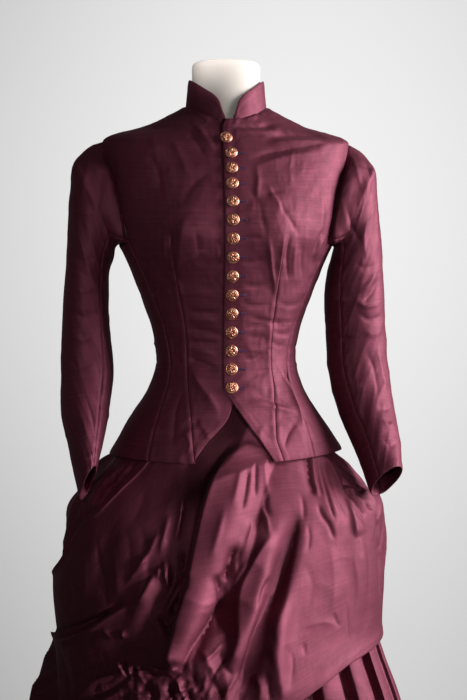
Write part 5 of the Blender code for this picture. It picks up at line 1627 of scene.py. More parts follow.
@dataclass
class Bodice:
    """The bodice's eight panels and its stand collar.

    Attributes:
        wardrobe: What finishes the panels.
        form: The surface that they are drawn on.
        columns: How many columns a front has on each side of its dart.
        strips: For each panel behind the fronts, the level of its top, its rows and its columns.
        front_crumples: The height, the facets' size and the seed of each layer of a front's crumples.
        collar_ends: The angles of the collar's two ends.
        collar_heights: The collar's height by its angle from the centre front.
    """

    wardrobe: Wardrobe
    form: BodiceForm
    wall: float = 0.0015
    collar_wall: float = 0.0018
    rows: int = 180
    columns: tuple[int, int] = (56, 60)
    strips: tuple[tuple[str, float, int, int], ...] = (
        ("underarm", 8.0, 120, 40), ("side_back", 10.5, 160, 44), ("back", 13.0, 200, 60),
    )
    front_crumples: tuple[tuple[float, float, int], ...] = ((0.0016, 0.050, 11), (0.0012, 0.022, 12))
    # The strength of the painted shadow beside the lapping edge.
    painted_shade: float = 0.92
    collar_ends: Point = (5.5, 354.5)
    collar_heights: Table = Table(
        "angle height",
        (5.5, 0.0030), (9.0, 0.0110), (13.0, 0.0245), (21.0, 0.0345), (36.0, 0.0395), (72.0, 0.0430),
        (180.0, 0.0440),
    )

    def build(self) -> None:
        """Make every panel."""
        form = self.form
        for word, side in SIDES:
            self.front(word, side)
        seams = (
            (form.seam("side_front"), form.seam("side_back")),
            (form.side_back_outer, form.seam("centre_back")),
            (form.back_outer, lambda level: np.full(np.shape(level), 180.0)),
        )
        for word, side in SIDES:
            for (name, top, rows, columns), edges in zip(self.strips, seams):
                self.strip(f"{name}_{word}", side, np.linspace(0.0, top, rows)[:, None], columns, edges)
        self.collar()

    def front(self, word: str, side: float) -> None:
        """One front, with its dart, its faced edge and the creases that wearing has set in it.

        Args:
            word: Its side, as a word.
            side: 1 for the wearer's left, -1 for their right.
        """
        form = self.form
        level = np.linspace(0.0, form.neckline, self.rows)[:, None]
        inner = form.angle_of(level, getattr(form.edges.at(level), word))
        outer = form.front_outer(level)
        dart = form.angle_of(level, getattr(form.darts.at(level), word))
        first, second = (arc_shares(count)[None] for count in self.columns)
        first = inner + (dart - inner) * first
        second = dart + (outer - dart) * second
        angle = np.concatenate([first, second[:, 1:]], axis=1)
        x = form.rings.at(level).half_width * turned(angle)[0]
        grid = form.point(level, side * angle, form.lift(x) if side > 0 else 0.0)
        across, from_seam, along, top = edge_distances(grid)
        from_dart = abs(across - across[:, self.columns[0] - 1][:, None])
        relief = seam_relief(from_seam, along)
        relief += ease((7.9 - level) / 0.8) * seam_relief(from_dart, along, 0.0010)
        relief += edge_relief(across) + edge_relief(along)
        relief += np.where(level > form.shoulder, 1.0, 0.4) * seam_relief(top, across, 0.0008)
        for height, size, seed in self.front_crumples:
            relief += height * crumple(across + side, along, size, seed) * ease(from_seam / 0.01)
        if side > 0:
            relief += 0.0008 * ease((2.8 - level) / 1.4) * bump(across, 0.030)
        relief += creased(grid, normals_of(grid, flip=side < 0), FRONT_CREASES)
        cloth = Cloth(f"front_{word}", grid, self.wall, flip=side < 0, relief=relief)
        # Painted shadow: a narrow dark strip on the wearer's right front beside the lapping edge, where the
        # lap casts its shadow, widening near the neck.
        if side < 0:
            under = form.edges.at(level).left - grid[..., 0]
            width = 0.0045 + 0.0045 * ease((level - 11.6) / 1.0)
            cloth.painted_shade = self.painted_shade * (1.0 - ease(under / width)) * ease((level - 2.5) / 0.5)
        self.wardrobe.hang(cloth, "stretched", ("form_torso",), (f"bodice_front_{word}",))

    def strip(
        self, name: str, side: float, level: Array, columns: int, edges: tuple[Seam, Seam]
    ) -> None:
        """A panel between two seams.

        Args:
            name: The panel's name.
            side: 1 for the wearer's left, -1 for their right.
            level: The levels of its rows.
            columns: How many columns it has.
            edges: The angle of each of its seams at a level.
        """
        inner, outer = (edge(level) for edge in edges)
        angle = inner + (outer - inner) * arc_shares(columns)[None]
        grid = self.form.point(level, side * angle)
        across, far, along, top = edge_distances(grid)
        relief = seam_relief(across, along) + seam_relief(far, along + 0.004)
        relief += edge_relief(along)
        relief += seam_relief(top, across, 0.0007)
        between = ease(np.minimum(across, far) / 0.01)
        relief += 0.0009 * crumple(across + angle[:, :1] * 0.01, along, 0.050, 23) * between
        relief += creased(grid, normals_of(grid, flip=side < 0), BACK_CREASES)
        cloth = Cloth(name, grid, self.wall, flip=side < 0, relief=relief)
        self.wardrobe.hang(cloth, "stretched", ("form_torso",), (f"bodice_{name}",))

    def collar(self) -> None:
        """The stand collar, interlined, open at the front with rounded ends."""
        form = self.form
        first, last = self.collar_ends
        angle = first + (last - first) * arc_shares(220, 0.5)[None]
        share = np.linspace(-0.05, 1.0, 23)[:, None]
        height = self.collar_heights.at(np.minimum(angle, 360.0 - angle)).height
        lean = 0.0045 * share * height / 0.044
        grid = form.point(form.neckline + 0.0 * angle, angle, -lean)
        grid[..., 1] -= np.where(angle < 90.0, form.lift(grid[..., 0]), 0.0)
        grid[..., 2] += height * share
        across, far, along, top = edge_distances(grid)
        relief = edge_relief(np.minimum(across, far)) + edge_relief(top) - 0.0006 * bump(along, 0.0015)
        relief += 0.0004 * soft_noise(across / 0.018, along / 0.03, 31)
        cloth = Cloth("stand_collar", grid, self.collar_wall, relief=relief, slack=0.0)
        panels = ("front_left", "front_right", "back_left", "back_right")
        self.wardrobe.hang(cloth, "stretched", panels, ("collar",))


@dataclass
class Sleeves:
    """The two two-piece sleeves.

    Attributes:
        wardrobe: What finishes the pieces.
        form: The bodice that they are set into.
        names: The columns' names of the sections' tables.
        left: The left sleeve's sections from the armpit down to the cuff.
        right: The right sleeve's sections.
        seams: The angles of the front and the back seam round a section, from its outer side to the front.
        armpit_half: Half the stretch of the armhole that the underarm panel takes up, in degrees.
        crumples: The height, the facets' size and the seed of each layer of crumples.
    """

    wardrobe: Wardrobe
    form: BodiceForm
    names: str = "inner_x inner_z outer_x outer_z y half_depth raise_front"
    left: tuple[tuple[float, ...], ...] = (
        (0.1785, 1.207, 0.2400, 1.342, 0.000, 0.0515, 0.0),
        (0.1740, 1.190, 0.2490, 1.290, 0.001, 0.0530, 0.0),
        (0.1670, 1.165, 0.2550, 1.225, 0.002, 0.0540, 0.0),
        (0.1625, 1.125, 0.2600, 1.150, 0.002, 0.0540, 0.0),
        (0.1645, 1.075, 0.2625, 1.080, 0.001, 0.0510, 4.0),
        (0.1670, 1.010, 0.2665, 1.010, -0.006, 0.0480, 10.0),
        (0.1800, 0.945, 0.2710, 0.945, -0.032, 0.0450, 22.0),
        (0.2010, 0.886, 0.2735, 0.893, -0.070, 0.0400, 32.0),
        (0.2200, 0.820, 0.2700, 0.848, -0.108, 0.0340, 38.0),
    )
    right: tuple[tuple[float, ...], ...] = (
        (0.1800, 1.207, 0.2460, 1.345, 0.000, 0.0515, 0.0),
        (0.1830, 1.190, 0.2540, 1.290, 0.001, 0.0530, 0.0),
        (0.1900, 1.165, 0.2570, 1.225, 0.002, 0.0540, 0.0),
        (0.1910, 1.125, 0.2620, 1.150, 0.002, 0.0540, 0.0),
        (0.1880, 1.075, 0.2660, 1.080, 0.001, 0.0510, 4.0),
        (0.1830, 1.010, 0.2680, 1.010, -0.006, 0.0480, 10.0),
        (0.1900, 0.945, 0.2670, 0.940, -0.032, 0.0450, 20.0),
        (0.2000, 0.897, 0.2540, 0.882, -0.070, 0.0400, 28.0),
        (0.2110, 0.856, 0.2380, 0.812, -0.104, 0.0340, 30.0),
    )
    seams: Point = (128.0, 262.0)
    armpit_half: float = 26.0
    wall: float = 0.0012
    crumples: tuple[tuple[float, float, int], ...] = ((0.0022, 0.045, 41), (0.0005, 0.020, 42))

    def build(self) -> None:
        """Make both pieces of both sleeves."""
        front, back = self.seams
        parts = (("upper", back - 360.0, front, 120), ("under", front, back, 64))
        for (word, side), sections in zip(SIDES, (self.left, self.right)):
            for part, first, last, columns in parts:
                turn = first + (last - first) * arc_shares(columns)
                self._piece(f"sleeve_{part}_{word}", side, sections, turn)

    def _armhole(self, turn: Array, side: float) -> Array:
        """Points of the armhole: 0 at the shoulder, 90 in front, 180 at the armpit and 270 behind.

        Args:
            turn: Those angles.
            side: 1 for the wearer's left, -1 for their right.
        Returns:
            The points.
        """
        form = self.form
        turn = turn % 360.0
        start, stop = 180.0 - self.armpit_half, 180.0 + self.armpit_half
        way = np.clip(np.minimum(turn, 360.0 - turn) / start, 0.0, 1.0)
        level = form.shoulder - (form.shoulder - form.armpit) * np.sin(np.radians(90.0 * way)) ** 1.1
        edges = form.armholes.at(level)
        angle = np.where(turn > 180.0, edges.back, edges.front)
        under = (turn > start) & (turn < stop)
        share = np.clip((turn - start) / (stop - start), 0.0, 1.0)
        ends = form.armholes.at(form.armpit)
        angle = np.where(under, ends.front + (ends.back - ends.front) * share, angle)
        level = np.where(under, form.armpit, level)
        return form.point(level, side * angle, -0.0006)

    def _section(self, row: tuple[float, ...], turn: Array, side: float) -> Array:
        """Points of one section of the sleeve.

        Args:
            row: Its row of the table.
            turn: Angles round it, from its outer side to the front.
            side: 1 for the wearer's left, -1 for their right.
        Returns:
            The points.
        """
        at = SimpleNamespace(**dict(zip(self.names.split(), row)))
        forward, outward = turned(turn)
        share = 0.5 + 0.5 * outward
        lift = math.radians(at.raise_front)
        x = at.inner_x + (at.outer_x - at.inner_x) * share
        z = at.inner_z + (at.outer_z - at.inner_z) * share + at.half_depth * forward * math.sin(lift)
        return np.stack([side * x, at.y - at.half_depth * forward * math.cos(lift), z], axis=-1)

    def _piece(
        self, name: str, side: float, sections: tuple[tuple[float, ...], ...], turn: Array
    ) -> None:
        """One piece of a sleeve, from the armhole to its open cuff.

        Args:
            name: The solid that it stands for.
            side: 1 for the wearer's left, -1 for their right.
            sections: The sleeve's sections.
            turn: The angles of its columns.
        """
        knots = [self._armhole(turn, side)] + [self._section(row, turn, side) for row in sections]
        table = Table("step places", *[(float(k), *knot.ravel()) for k, knot in enumerate(knots)])
        step = np.concatenate([np.linspace(0.0, 1.0, 23)[:-1], np.linspace(1.0, len(knots) - 1.0, 166)])
        grid = table.values_at(step).reshape(len(step), len(turn), 3)
        across, far, along, cuff = edge_distances(grid)
        relief = seam_relief(across, along) + seam_relief(far, along + 0.004)
        relief += edge_relief(cuff) + self._head(along, turn)
        for height, size, seed in self.crumples:
            relief += height * crumple(across + side * 3.0, along, size, seed) * ease(along / 0.02)
        relief += creased(grid, normals_of(grid, flip=side < 0), SLEEVE_CREASES)
        cloth = Cloth(f"silk_{name}", grid, self.wall, flip=side < 0, relief=relief)
        self.wardrobe.hang(cloth, "hung", ("front_left", "front_right"), (name,))

    @staticmethod
    def _head(along: Array, turn: Array) -> Array:
        """The sleeve head: sunk at its seam, with eased fullness just past it.

        Args:
            along: Distances from the seam.
            turn: The angles of the columns.
        Returns:
            The relief, in metres.
        """
        easing = turned(turn * 23.0 + 30.0 * turned(turn * 5.0)[0])[0][None]
        full = ease((100.0 - abs((turn + 180.0) % 360.0 - 180.0)) / 60.0)[None]
        swell = 0.0042 * bump(along - 0.020, 0.020) * full
        front = ease((76.0 - abs(turn - 84.0)) / 32.0)[None]
        swell = swell + 0.0110 * front * ease(along / 0.007) * (1.0 - ease((along - 0.008) / 0.066))
        return swell + 0.0007 * easing * bump(along - 0.007, 0.008) * full - 0.0008 * bump(along, 0.002)


@dataclass
class Skirt:
    """The waistband and the four pleated panels.

    Attributes:
        wardrobe: What finishes the pieces.
        form: The surface that they are drawn on.
        band: The waistband's width.
        panels: Each panel's word and the angle of its middle.
        reach: Half the angle that a panel spans.
        seam: The share of a pleat's width at which the panels meet, inside its recess.
        stitched: How far above the hem its stitching line runs.
        beside: The rows drawn beside the stitching line, as distances from it.
    """

    wardrobe: Wardrobe
    form: SkirtForm
    wall: float = 0.0012
    band_wall: float = 0.0018
    band: float = 0.026
    panels: tuple[tuple[str, float], ...] = (
        ("front", 0.0), ("left", 90.0), ("back", 180.0), ("right", 270.0),
    )
    reach: float = 45.0
    seam: float = 0.23
    stitched: float = 0.035
    beside: tuple[float, ...] = (-0.0018, -0.0008, 0.0, 0.0008, 0.0018)

    def build(self) -> None:
        """Make the band and the panels."""
        self.waistband()
        for word, middle in self.panels:
            self.panel(word, middle)

    def waistband(self) -> None:
        """The waistband."""
        waist = self.form.waist
        turn = np.linspace(0.0, 360.0, 181)[None, :-1]
        z = np.linspace(waist, waist + self.band, 12)[:, None]
        flat = self.form.point(np.array(waist), turn)
        grid = np.concatenate([flat[..., :2] + 0.0 * z[..., None], (z + 0.0 * turn)[..., None]], axis=2)
        _, _, along, top = edge_distances(grid)
        relief = edge_relief(along) + edge_relief(top)
        cloth = Cloth("skirt_band", grid, self.band_wall, closed=True, relief=relief, slack=0.0)
        self.wardrobe.hang(cloth, "stretched", ("form_torso",), ("waistband",))

    def _profile(self, angle: Array, height: Array) -> Array:
        """How far in the pleats' cloth lies, from 0 on their faces to 1 in their recesses.

        Args:
            angle: Angles.
            height: Heights.
        Returns:
            The shares of the pleats' depth.
        """
        pitch = 360.0 / self.form.pleats
        sway = 0.35 * soft_noise(angle / 21.0, height / 0.5, 61) * ease((0.95 - height) / 0.5)
        place = ((angle + sway + self.reach + self.seam * pitch) / pitch - self.seam) % 1.0
        fall = ease((0.625 - place) / 0.075) * (place >= 0.5)
        rounded = 0.10 * abs((place - 0.27) / 0.27) ** 3
        face = np.where(place < 0.5, ease((place + 0.08) / 0.08), fall)
        wrapped = np.where(place > 0.92, ease((place - 0.92) / 0.08), face)
        return 1.0 - wrapped * (1.0 - np.minimum(rounded, 0.2) * (place < 0.54))

    def panel(self, word: str, middle: float) -> None:
        """One pleated panel.

        Args:
            word: Where it is, as a word.
            middle: The angle of its middle.
        """
        form = self.form
        first = middle - self.reach - self.seam * 360.0 / form.pleats
        angle = np.linspace(first, first + 2.0 * self.reach, 217)[None]
        rows = (
            np.linspace(form.hem, 0.60, 56),
            np.linspace(0.607, form.waist - 0.0004, 26),
            form.hem + self.stitched + np.array(self.beside),
        )
        height = np.sort(np.concatenate(rows))[:, None]
        dip = self._profile(angle, height)
        grid = form.point(height, angle, -form.pleat_out(height) * dip)
        along = height - form.hem + 0.0 * angle
        relief = edge_relief(along) - 0.0007 * bump(along - self.stitched, 0.0012)
        relief += 0.0016 * crumple(angle * 0.006, height, 0.055, 67) * (1.0 - 0.6 * dip)
        cloth = Cloth(f"skirt_{word}", grid, self.wall, relief=relief, slack=0.0005)
        self.wardrobe.hang(cloth, "hung", ("skirt_band",), (f"underskirt_{word}",))


@dataclass
class Drapery:
    """The swagged apron and the two puffs of the bustle.

    Attributes:
        wardrobe: What finishes the pieces.
        form: Their lines and how far they stand off the skirt.
        side: The angle at which the apron ends on each side.
        shade: Where across, by its height, the strip of painted shade beside the basque's opening starts.
        tack: How far the rows around a tuck's edge spread where the tuck has run out.
        under_bodice: The rows of the upper puff that lie under the bodice.
    """

    wardrobe: Wardrobe
    form: DraperyForm
    wall: float = 0.0012
    slack: float = 0.0005
    side: float = 98.0
    shade: Table = Table(
        "z x",
        (0.300, -0.060), (0.760, -0.056), (0.795, -0.045), (0.831, -0.031), (0.857, -0.013), (0.881, 0.010),
        (0.919, 0.030), (1.000, 0.070),
    )
    # The strength of the painted shade in the basque's opening and down the fold below it.
    painted_shade: float = 0.95
    tack: float = 0.006
    under_bodice: int = 12

    def build(self) -> None:
        """Make the three pieces."""
        self.apron()
        self.upper_puff()
        self.lower_puff()

    def _apron_rows(self, lines: SimpleNamespace) -> tuple[Array, Array]:
        """The heights of the apron's rows, and how far the tucks' layers lift each.

        Args:
            lines: The apron's edges and tucks at each column.
        Returns:
            The heights and the lifts, from the hem up.
        """
        form = self.form
        tucks = []
        for line, depth in ((lines.tuck_a, lines.depth_a), (lines.tuck_b, lines.depth_b)):
            run_out = self.tack * (1.0 - depth)
            tucks.append((line - form.tuck_return * depth + run_out, line - run_out))
        (under_a, over_a), (under_b, over_b) = tucks
        parts = (
            (lines.top, under_a, 90, 0), (under_a, over_a, 6, 0), (over_a, under_b, 56, 1),
            (under_b, over_b, 6, 1), (over_b, lines.hem, 70, 2),
        )
        heights, lifts = [], []
        for high, low, count, layer in parts:
            share = np.linspace(0.0, 1.0, count)[1 if heights else 0:, None]
            step_a = ease(share) if high is under_a else np.full(share.shape, float(layer > 0))
            step_b = ease(share) if high is under_b else np.full(share.shape, float(layer > 1))
            heights.append(high + (low - high) * share)
            lifts.append(form.tuck_step * (lines.depth_a * step_a + lines.depth_b * step_b))
        return np.concatenate(heights)[::-1], np.concatenate(lifts)[::-1]

    def apron(self) -> None:
        """The apron: laid in two tucks at the wearer's right and falling in long folds."""
        form = self.form
        turn = np.linspace(-self.side, self.side, 340)[None]
        height, step = self._apron_rows(form.lines.at(turn))
        edge = form.tucked_edge.at(height).angle
        angle = np.where(turn < 0.0, turn * edge / self.side, turn)
        grid = form.skirt.point(height, angle, form.apron_out(height, angle) + step)
        across, far, along, top = edge_distances(grid)
        x, z = grid[..., 0], grid[..., 2]
        relief = edge_relief(along) + edge_relief(np.minimum(across, far))
        rolled = edge_relief(top, 0.0012) + 0.0026 * bump(top - 0.004, 0.004)
        relief += rolled * ease((0.955 - z) / 0.02) * ease(-(x + 0.06) / 0.03)
        soft = ease((0.905 - z) / 0.040)
        relief += soft * creased(grid, normals_of(grid), APRON_CREASES)
        rough = 0.45 + bump(x + 0.045, 0.090) * ease((0.76 - z) / 0.10)
        relief += soft * 0.0026 * rough * crumple(across, along, 0.060, 71)
        relief -= 0.0050 * bump(x - 0.002, 0.034) * bump(z - 0.925, 0.040)
        gathers = bump(x + 0.095, 0.090) * bump(z - 0.522, 0.046)
        relief += 0.0110 * gathers * crumple(across, along, 0.019, 75)
        relief -= 0.0036 * (1.0 - ease(np.minimum(across, far) / 0.020))
        below = np.maximum(0.0, 0.875 - z)
        relief = np.minimum(relief, 0.0022 + 0.55 * below**2 / (below + 0.016))
        # Painted shade: the apron is darkened, and its coat dulled, left of this line in the basque's opening
        # and down its long fold, where the cloth lies in shadow.
        beside = self.shade.at(z).x - x
        painted_shade = self.painted_shade * ease(beside / 0.010)
        painted_shade = painted_shade * (1.0 - ease((beside - 0.040) / 0.055)) * ease((z - 0.768) / 0.060)
        cloth = Cloth("apron_drape", grid, self.wall, relief=relief, slack=self.slack, painted_shade=painted_shade)
        self.wardrobe.hang(cloth, "draped", ("skirt_band", "skirt_front"), ("apron",))

    def _puff(self, name: str, grid: Array, soft: Array, crumples: tuple[float, float, int]) -> Cloth:
        """A puff's shell.

        Args:
            name: The piece's name.
            grid: Its points, without the creases.
            soft: The share of the creases at each point.
            crumples: The crumples' height, the size of their facets and their seed.
        Returns:
            The shell.
        """
        across, far, along, _ = edge_distances(grid)
        height, size, seed = crumples
        relief = edge_relief(along) + edge_relief(np.minimum(across, far))
        relief += soft * height * crumple(across, along, size, seed)
        relief += soft * creased(grid, normals_of(grid), PUFF_CREASES)
        return Cloth(name, grid, self.wall, relief=relief, slack=self.slack)

    def upper_puff(self) -> None:
        """The upper puff, from the waist to its bottom edge over the bustle."""
        form = self.form
        turn = np.linspace(50.0, 314.0, 320)[None]
        share = np.linspace(0.0, 1.0, 76)[:, None]
        height, out = form.upper_out(share + 0.0 * turn, turn + 0.0 * share)
        free = ease(share / 0.05) * ease((1.0 - share) / 0.22)
        out = out + 0.0045 * free * soft_noise(turn / 5.2 + 0.6 * share, share * 1.3 + 0.0 * turn, 81)
        gathered = free * (0.45 + 0.55 * ease((share - 0.35) / 0.4))
        out = out + 0.0042 * gathered * form.falling_folds(turn, share, 7.0, 82)
        rows = [form.skirt.point(height, turn, out)]
        top = form.puff_top(turn)
        for k in range(1, self.under_bodice + 1):
            part = k / self.under_bodice
            z = top + (form.skirt.waist - 0.0004 - top) * part
            drawn_in = ease(min(1.0, part * 1.6))
            held = out[-1][None] * (1.0 - drawn_in) + 0.0022 * drawn_in
            rows.append(form.skirt.point(z, turn, np.minimum(held, 0.0045 + 0.012 * ease((0.93 - z) / 0.05))))
        grid = np.concatenate(rows)
        cloth = self._puff("puff_upper", grid, ease((0.86 - grid[..., 2]) / 0.05), (0.0014, 0.060, 83))
        self.wardrobe.hang(cloth, "gathered", ("skirt_band", "skirt_back"), ("back_puff_upper",))

    def lower_puff(self) -> None:
        """The lower puff, which hangs lower at the wearer's right."""
        form = self.form
        turn = np.linspace(83.0, 300.8, 290)[None]
        share = np.linspace(0.0, 1.0, 112)[:, None]
        height, out = form.lower_out(share + 0.0 * turn, turn + 0.0 * share)
        free = ease(share / 0.06) * ease((0.78 - share) / 0.2)
        out = out + 0.0040 * free * soft_noise(turn / 6.0 + 0.8 * share, share * 1.2 + 0.0 * turn, 91)
        inside = free * ease((turn - self.side) / 12.0)
        gathered = 0.5 + 0.5 * ease((share - 0.2) / 0.5)
        out = out + 0.0058 * inside * gathered * form.falling_folds(turn, share, 9.0, 95)
        cloth = self._puff("puff_lower", form.skirt.point(height, turn, out), free, (0.0014, 0.065, 93))
        self.wardrobe.hang(cloth, "gathered", ("skirt_back", "puff_upper"), ("back_puff_lower",))


class Lap:
    """The line down the lapping front at x = 0, on which the buttons sit."""

    def __init__(self, form: BodiceForm) -> None:
        """Trace the line."""
        level = np.linspace(0.0, form.neckline, 400)
        middle = form.point(level, 0.0 * level, form.lap_lift)
        beside = form.point(level, form.angle_of(level, 0.0 * level + 0.0095), form.lap_lift)
        self.z, self.y = middle[:, 2], beside[:, 1]

    def place(self, z: float) -> tuple[Array, Array, Array]:
        """A point on the line, the outward normal and the upward direction there.

        Args:
            z: The point's height.
        Returns:
            All three.
        """
        y = float(np.interp(z, self.z, self.y))
        step = float(np.interp(z + 0.006, self.z, self.y) - np.interp(z - 0.006, self.z, self.y)) / 0.012
        up = np.array((0.0, step, 1.0)) / math.hypot(step, 1.0)
        return np.array((0.0, y, z)), np.cross((1.0, 0.0, 0.0), up), up


@dataclass(frozen=True)
class ButtonCut:
    """The buttons' sizes and places."""

    radius: float = 0.0100
    depth: float = 0.0046
    top: float = 1.3765
    close: int = 3
    close_pitch: float = 0.0250
    wide_pitch: float = 0.0291
    count: int = 15
    top_shift: float = -0.007
    beads: int = 22

    def heights(self) -> list[float]:
        """Each button's height, from the neck down."""
        near = [self.top - self.close_pitch * k for k in range(self.close + 1)]
        return near + [near[-1] - self.wide_pitch * (k + 1) for k in range(self.count - len(near))]


@dataclass(frozen=True)
class Stitches:
    """Geometry nodes that lay a thread stitch at every step along the edges of a mesh.

    Each stitch stands along the mesh's "up" attribute.

    Attributes:
        pitch: The distance from stitch to stitch.
        size: Half the stitch's thickness along and across its line, and half its length.
        jitter: How unevenly the stitches lean.
        seed: Fixes the unevenness.
    """

    pitch: float = 0.00085
    size: Colour = (0.00046, 0.00042, 0.00100)
    jitter: float = 0.22
    seed: int = 5

    def tree(self) -> bpy.types.NodeTree:
        """The node group.

        Returns:
            The group, with its inputs named.
        """
        tree = bpy.data.node_groups.new("thread_stitches", "GeometryNodeTree")
        kinds = (
            ("Geometry", "INPUT", "NodeSocketGeometry"),
            ("Pitch", "INPUT", "NodeSocketFloat"),
            ("Size", "INPUT", "NodeSocketVector"),
            ("Jitter", "INPUT", "NodeSocketFloat"),
            ("Seed", "INPUT", "NodeSocketInt"),
            ("Thread", "INPUT", "NodeSocketMaterial"),
            ("Geometry", "OUTPUT", "NodeSocketGeometry"),
        )
        for name, way, kind in kinds:
            tree.interface.new_socket(name=name, in_out=way, socket_type=kind)
        graph = Graph(tree)
        given = graph.add("NodeGroupInput").outputs
        curve = graph.add("GeometryNodeMeshToCurve", {"Mesh": given["Geometry"]}).outputs["Curve"]
        along = {"Curve": curve, "Length": given["Pitch"]}
        steps = graph.add("GeometryNodeResampleCurve", along, mode="LENGTH")
        ball = graph.add("GeometryNodeMeshUVSphere", {"Segments": 6, "Rings": 4, "Radius": 1.0}).outputs[0]
        stitch = graph.add("GeometryNodeTransform", {"Geometry": ball, "Scale": given["Size"]}).outputs[0]
        up = graph.add("GeometryNodeInputNamedAttribute", {"Name": "up"}, data_type="FLOAT_VECTOR").outputs[0]
        low = graph.sum("MULTIPLY", given["Jitter"], -1.0)
        lean = graph.add(
            "FunctionNodeRandomValue", {"Min": low, "Max": given["Jitter"], "Seed": given["Seed"]},
            data_type="FLOAT_VECTOR",
        ).outputs[0]
        leant = graph.add("ShaderNodeVectorMath", {0: up, 1: lean}, operation="ADD").outputs[0]
        turn = graph.add("FunctionNodeAlignRotationToVector", {"Vector": leant}, axis="Z").outputs[0]
        laid = graph.add(
            "GeometryNodeInstanceOnPoints", {"Points": steps.outputs[0], "Instance": stitch, "Rotation": turn}
        ).outputs[0]
        real = graph.add("GeometryNodeRealizeInstances", {0: laid}).outputs[0]
        finish = graph.add("GeometryNodeSetMaterial", {"Geometry": real, "Material": given["Thread"]})
        graph.add("NodeGroupOutput", {0: finish.outputs[0]})
        return tree

    def sew(
        self, name: str, lines: list[Array], ups: list[Array], thread: bpy.types.Material
    ) -> None:
        """Sew along lines, and leave the stitches as one plain mesh.

        Args:
            name: The new piece's name.
            lines: The points of each line.
            ups: The direction of the stitches at each point.
            thread: Their material.
        """
        edges, first = [], 0
        for line in lines:
            edges += [(first + k, first + k + 1) for k in range(len(line) - 1)]
            first += len(line)
        mesh = bpy.data.meshes.new(name + "_lines")
        mesh.from_pydata(np.concatenate(lines).tolist(), edges, [])
        layer = mesh.attributes.new("up", "FLOAT_VECTOR", "POINT")
        layer.data.foreach_set("vector", np.concatenate(ups).ravel())
        lines_object = bpy.data.objects.new(name + "_lines", mesh)
        bpy.context.scene.collection.objects.link(lines_object)
        modifier = lines_object.modifiers.new("stitches", "NODES")
        modifier.node_group = self.tree()
        values = {"Pitch": self.pitch, "Size": self.size, "Jitter": self.jitter, "Seed": self.seed}
        values["Thread"] = thread
        for socket in modifier.node_group.interface.items_tree:
            if socket.in_out == "INPUT" and socket.name in values:
                modifier[socket.identifier] = values[socket.name]
        lines_object.update_tag()
        ready = lines_object.evaluated_get(bpy.context.evaluated_depsgraph_get())
        plain = bpy.data.meshes.new_from_object(ready)
        plain.name = name
        plain.shade_smooth()
        made = bpy.data.objects.new(name, plain)
        bpy.context.scene.collection.objects.link(made)
        bpy.data.objects.remove(lines_object)
        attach(made, ROOT)
        LOG.info("%s: %d faces", made.name, len(made.data.polygons))


@dataclass
class Buttonholes:
    """The worked slits beside the buttons, their two rows of stitches meeting round the outer end.

    Attributes:
        front: The lapping front.
        thread: The stitches' material.
        heights: The height of each slit.
        start: Where a slit starts, beside the centre front.
        end: Where it ends.
        half: Half the distance between its two rows of stitches.
        round: How far the stitches at its end reach past it.
        lift: How far the stitches' middles stand off the cloth.
    """

    front: bpy.types.Object
    thread: bpy.types.Material
    heights: list[float]
    start: float = 0.0030
    end: float = 0.0210
    half: float = 0.00120
    round: float = 0.0007
    lift: float = 0.00025
    surface: BVHTree = field(init=False)

    def __post_init__(self) -> None:
        """Take the front's surface."""
        mesh = self.front.data
        corners = [corner.co for corner in mesh.vertices]
        self.surface = BVHTree.FromPolygons(corners, [face.vertices[:] for face in mesh.polygons])

    def _on_cloth(self, x: float, z: float) -> Array:
        """The point of the front seen at this place."""
        hit = self.surface.ray_cast(Vector((x, -0.5, z)), Vector((0.0, 1.0, 0.0)))[0]
        return np.array(hit) + np.array((0.0, -self.lift, 0.0))

    def build(self) -> None:
        """Sew every buttonhole."""
        lines, ups = [], []
        way = np.linspace(self.start, self.end, 16)
        for z in self.heights:
            outline = [(x, z - self.half, 0.0, -1.0) for x in way]
            for angle in np.linspace(-90.0, 90.0, 7):
                along, across = (float(part) for part in turned(angle))
                x = self.end + self.round * turned(angle + 90.0)[0]
                outline.append((x, z + self.half * along, across, along))
            outline += [(x, z + self.half, 0.0, 1.0) for x in way[::-1]]
            lines.append(np.array([self._on_cloth(x, height) for x, height, _, _ in outline]))
            ups.append(np.array([(across, 0.0, along) for _, _, across, along in outline]))
        Stitches().sew("buttonhole_stitches", lines, ups, self.thread)


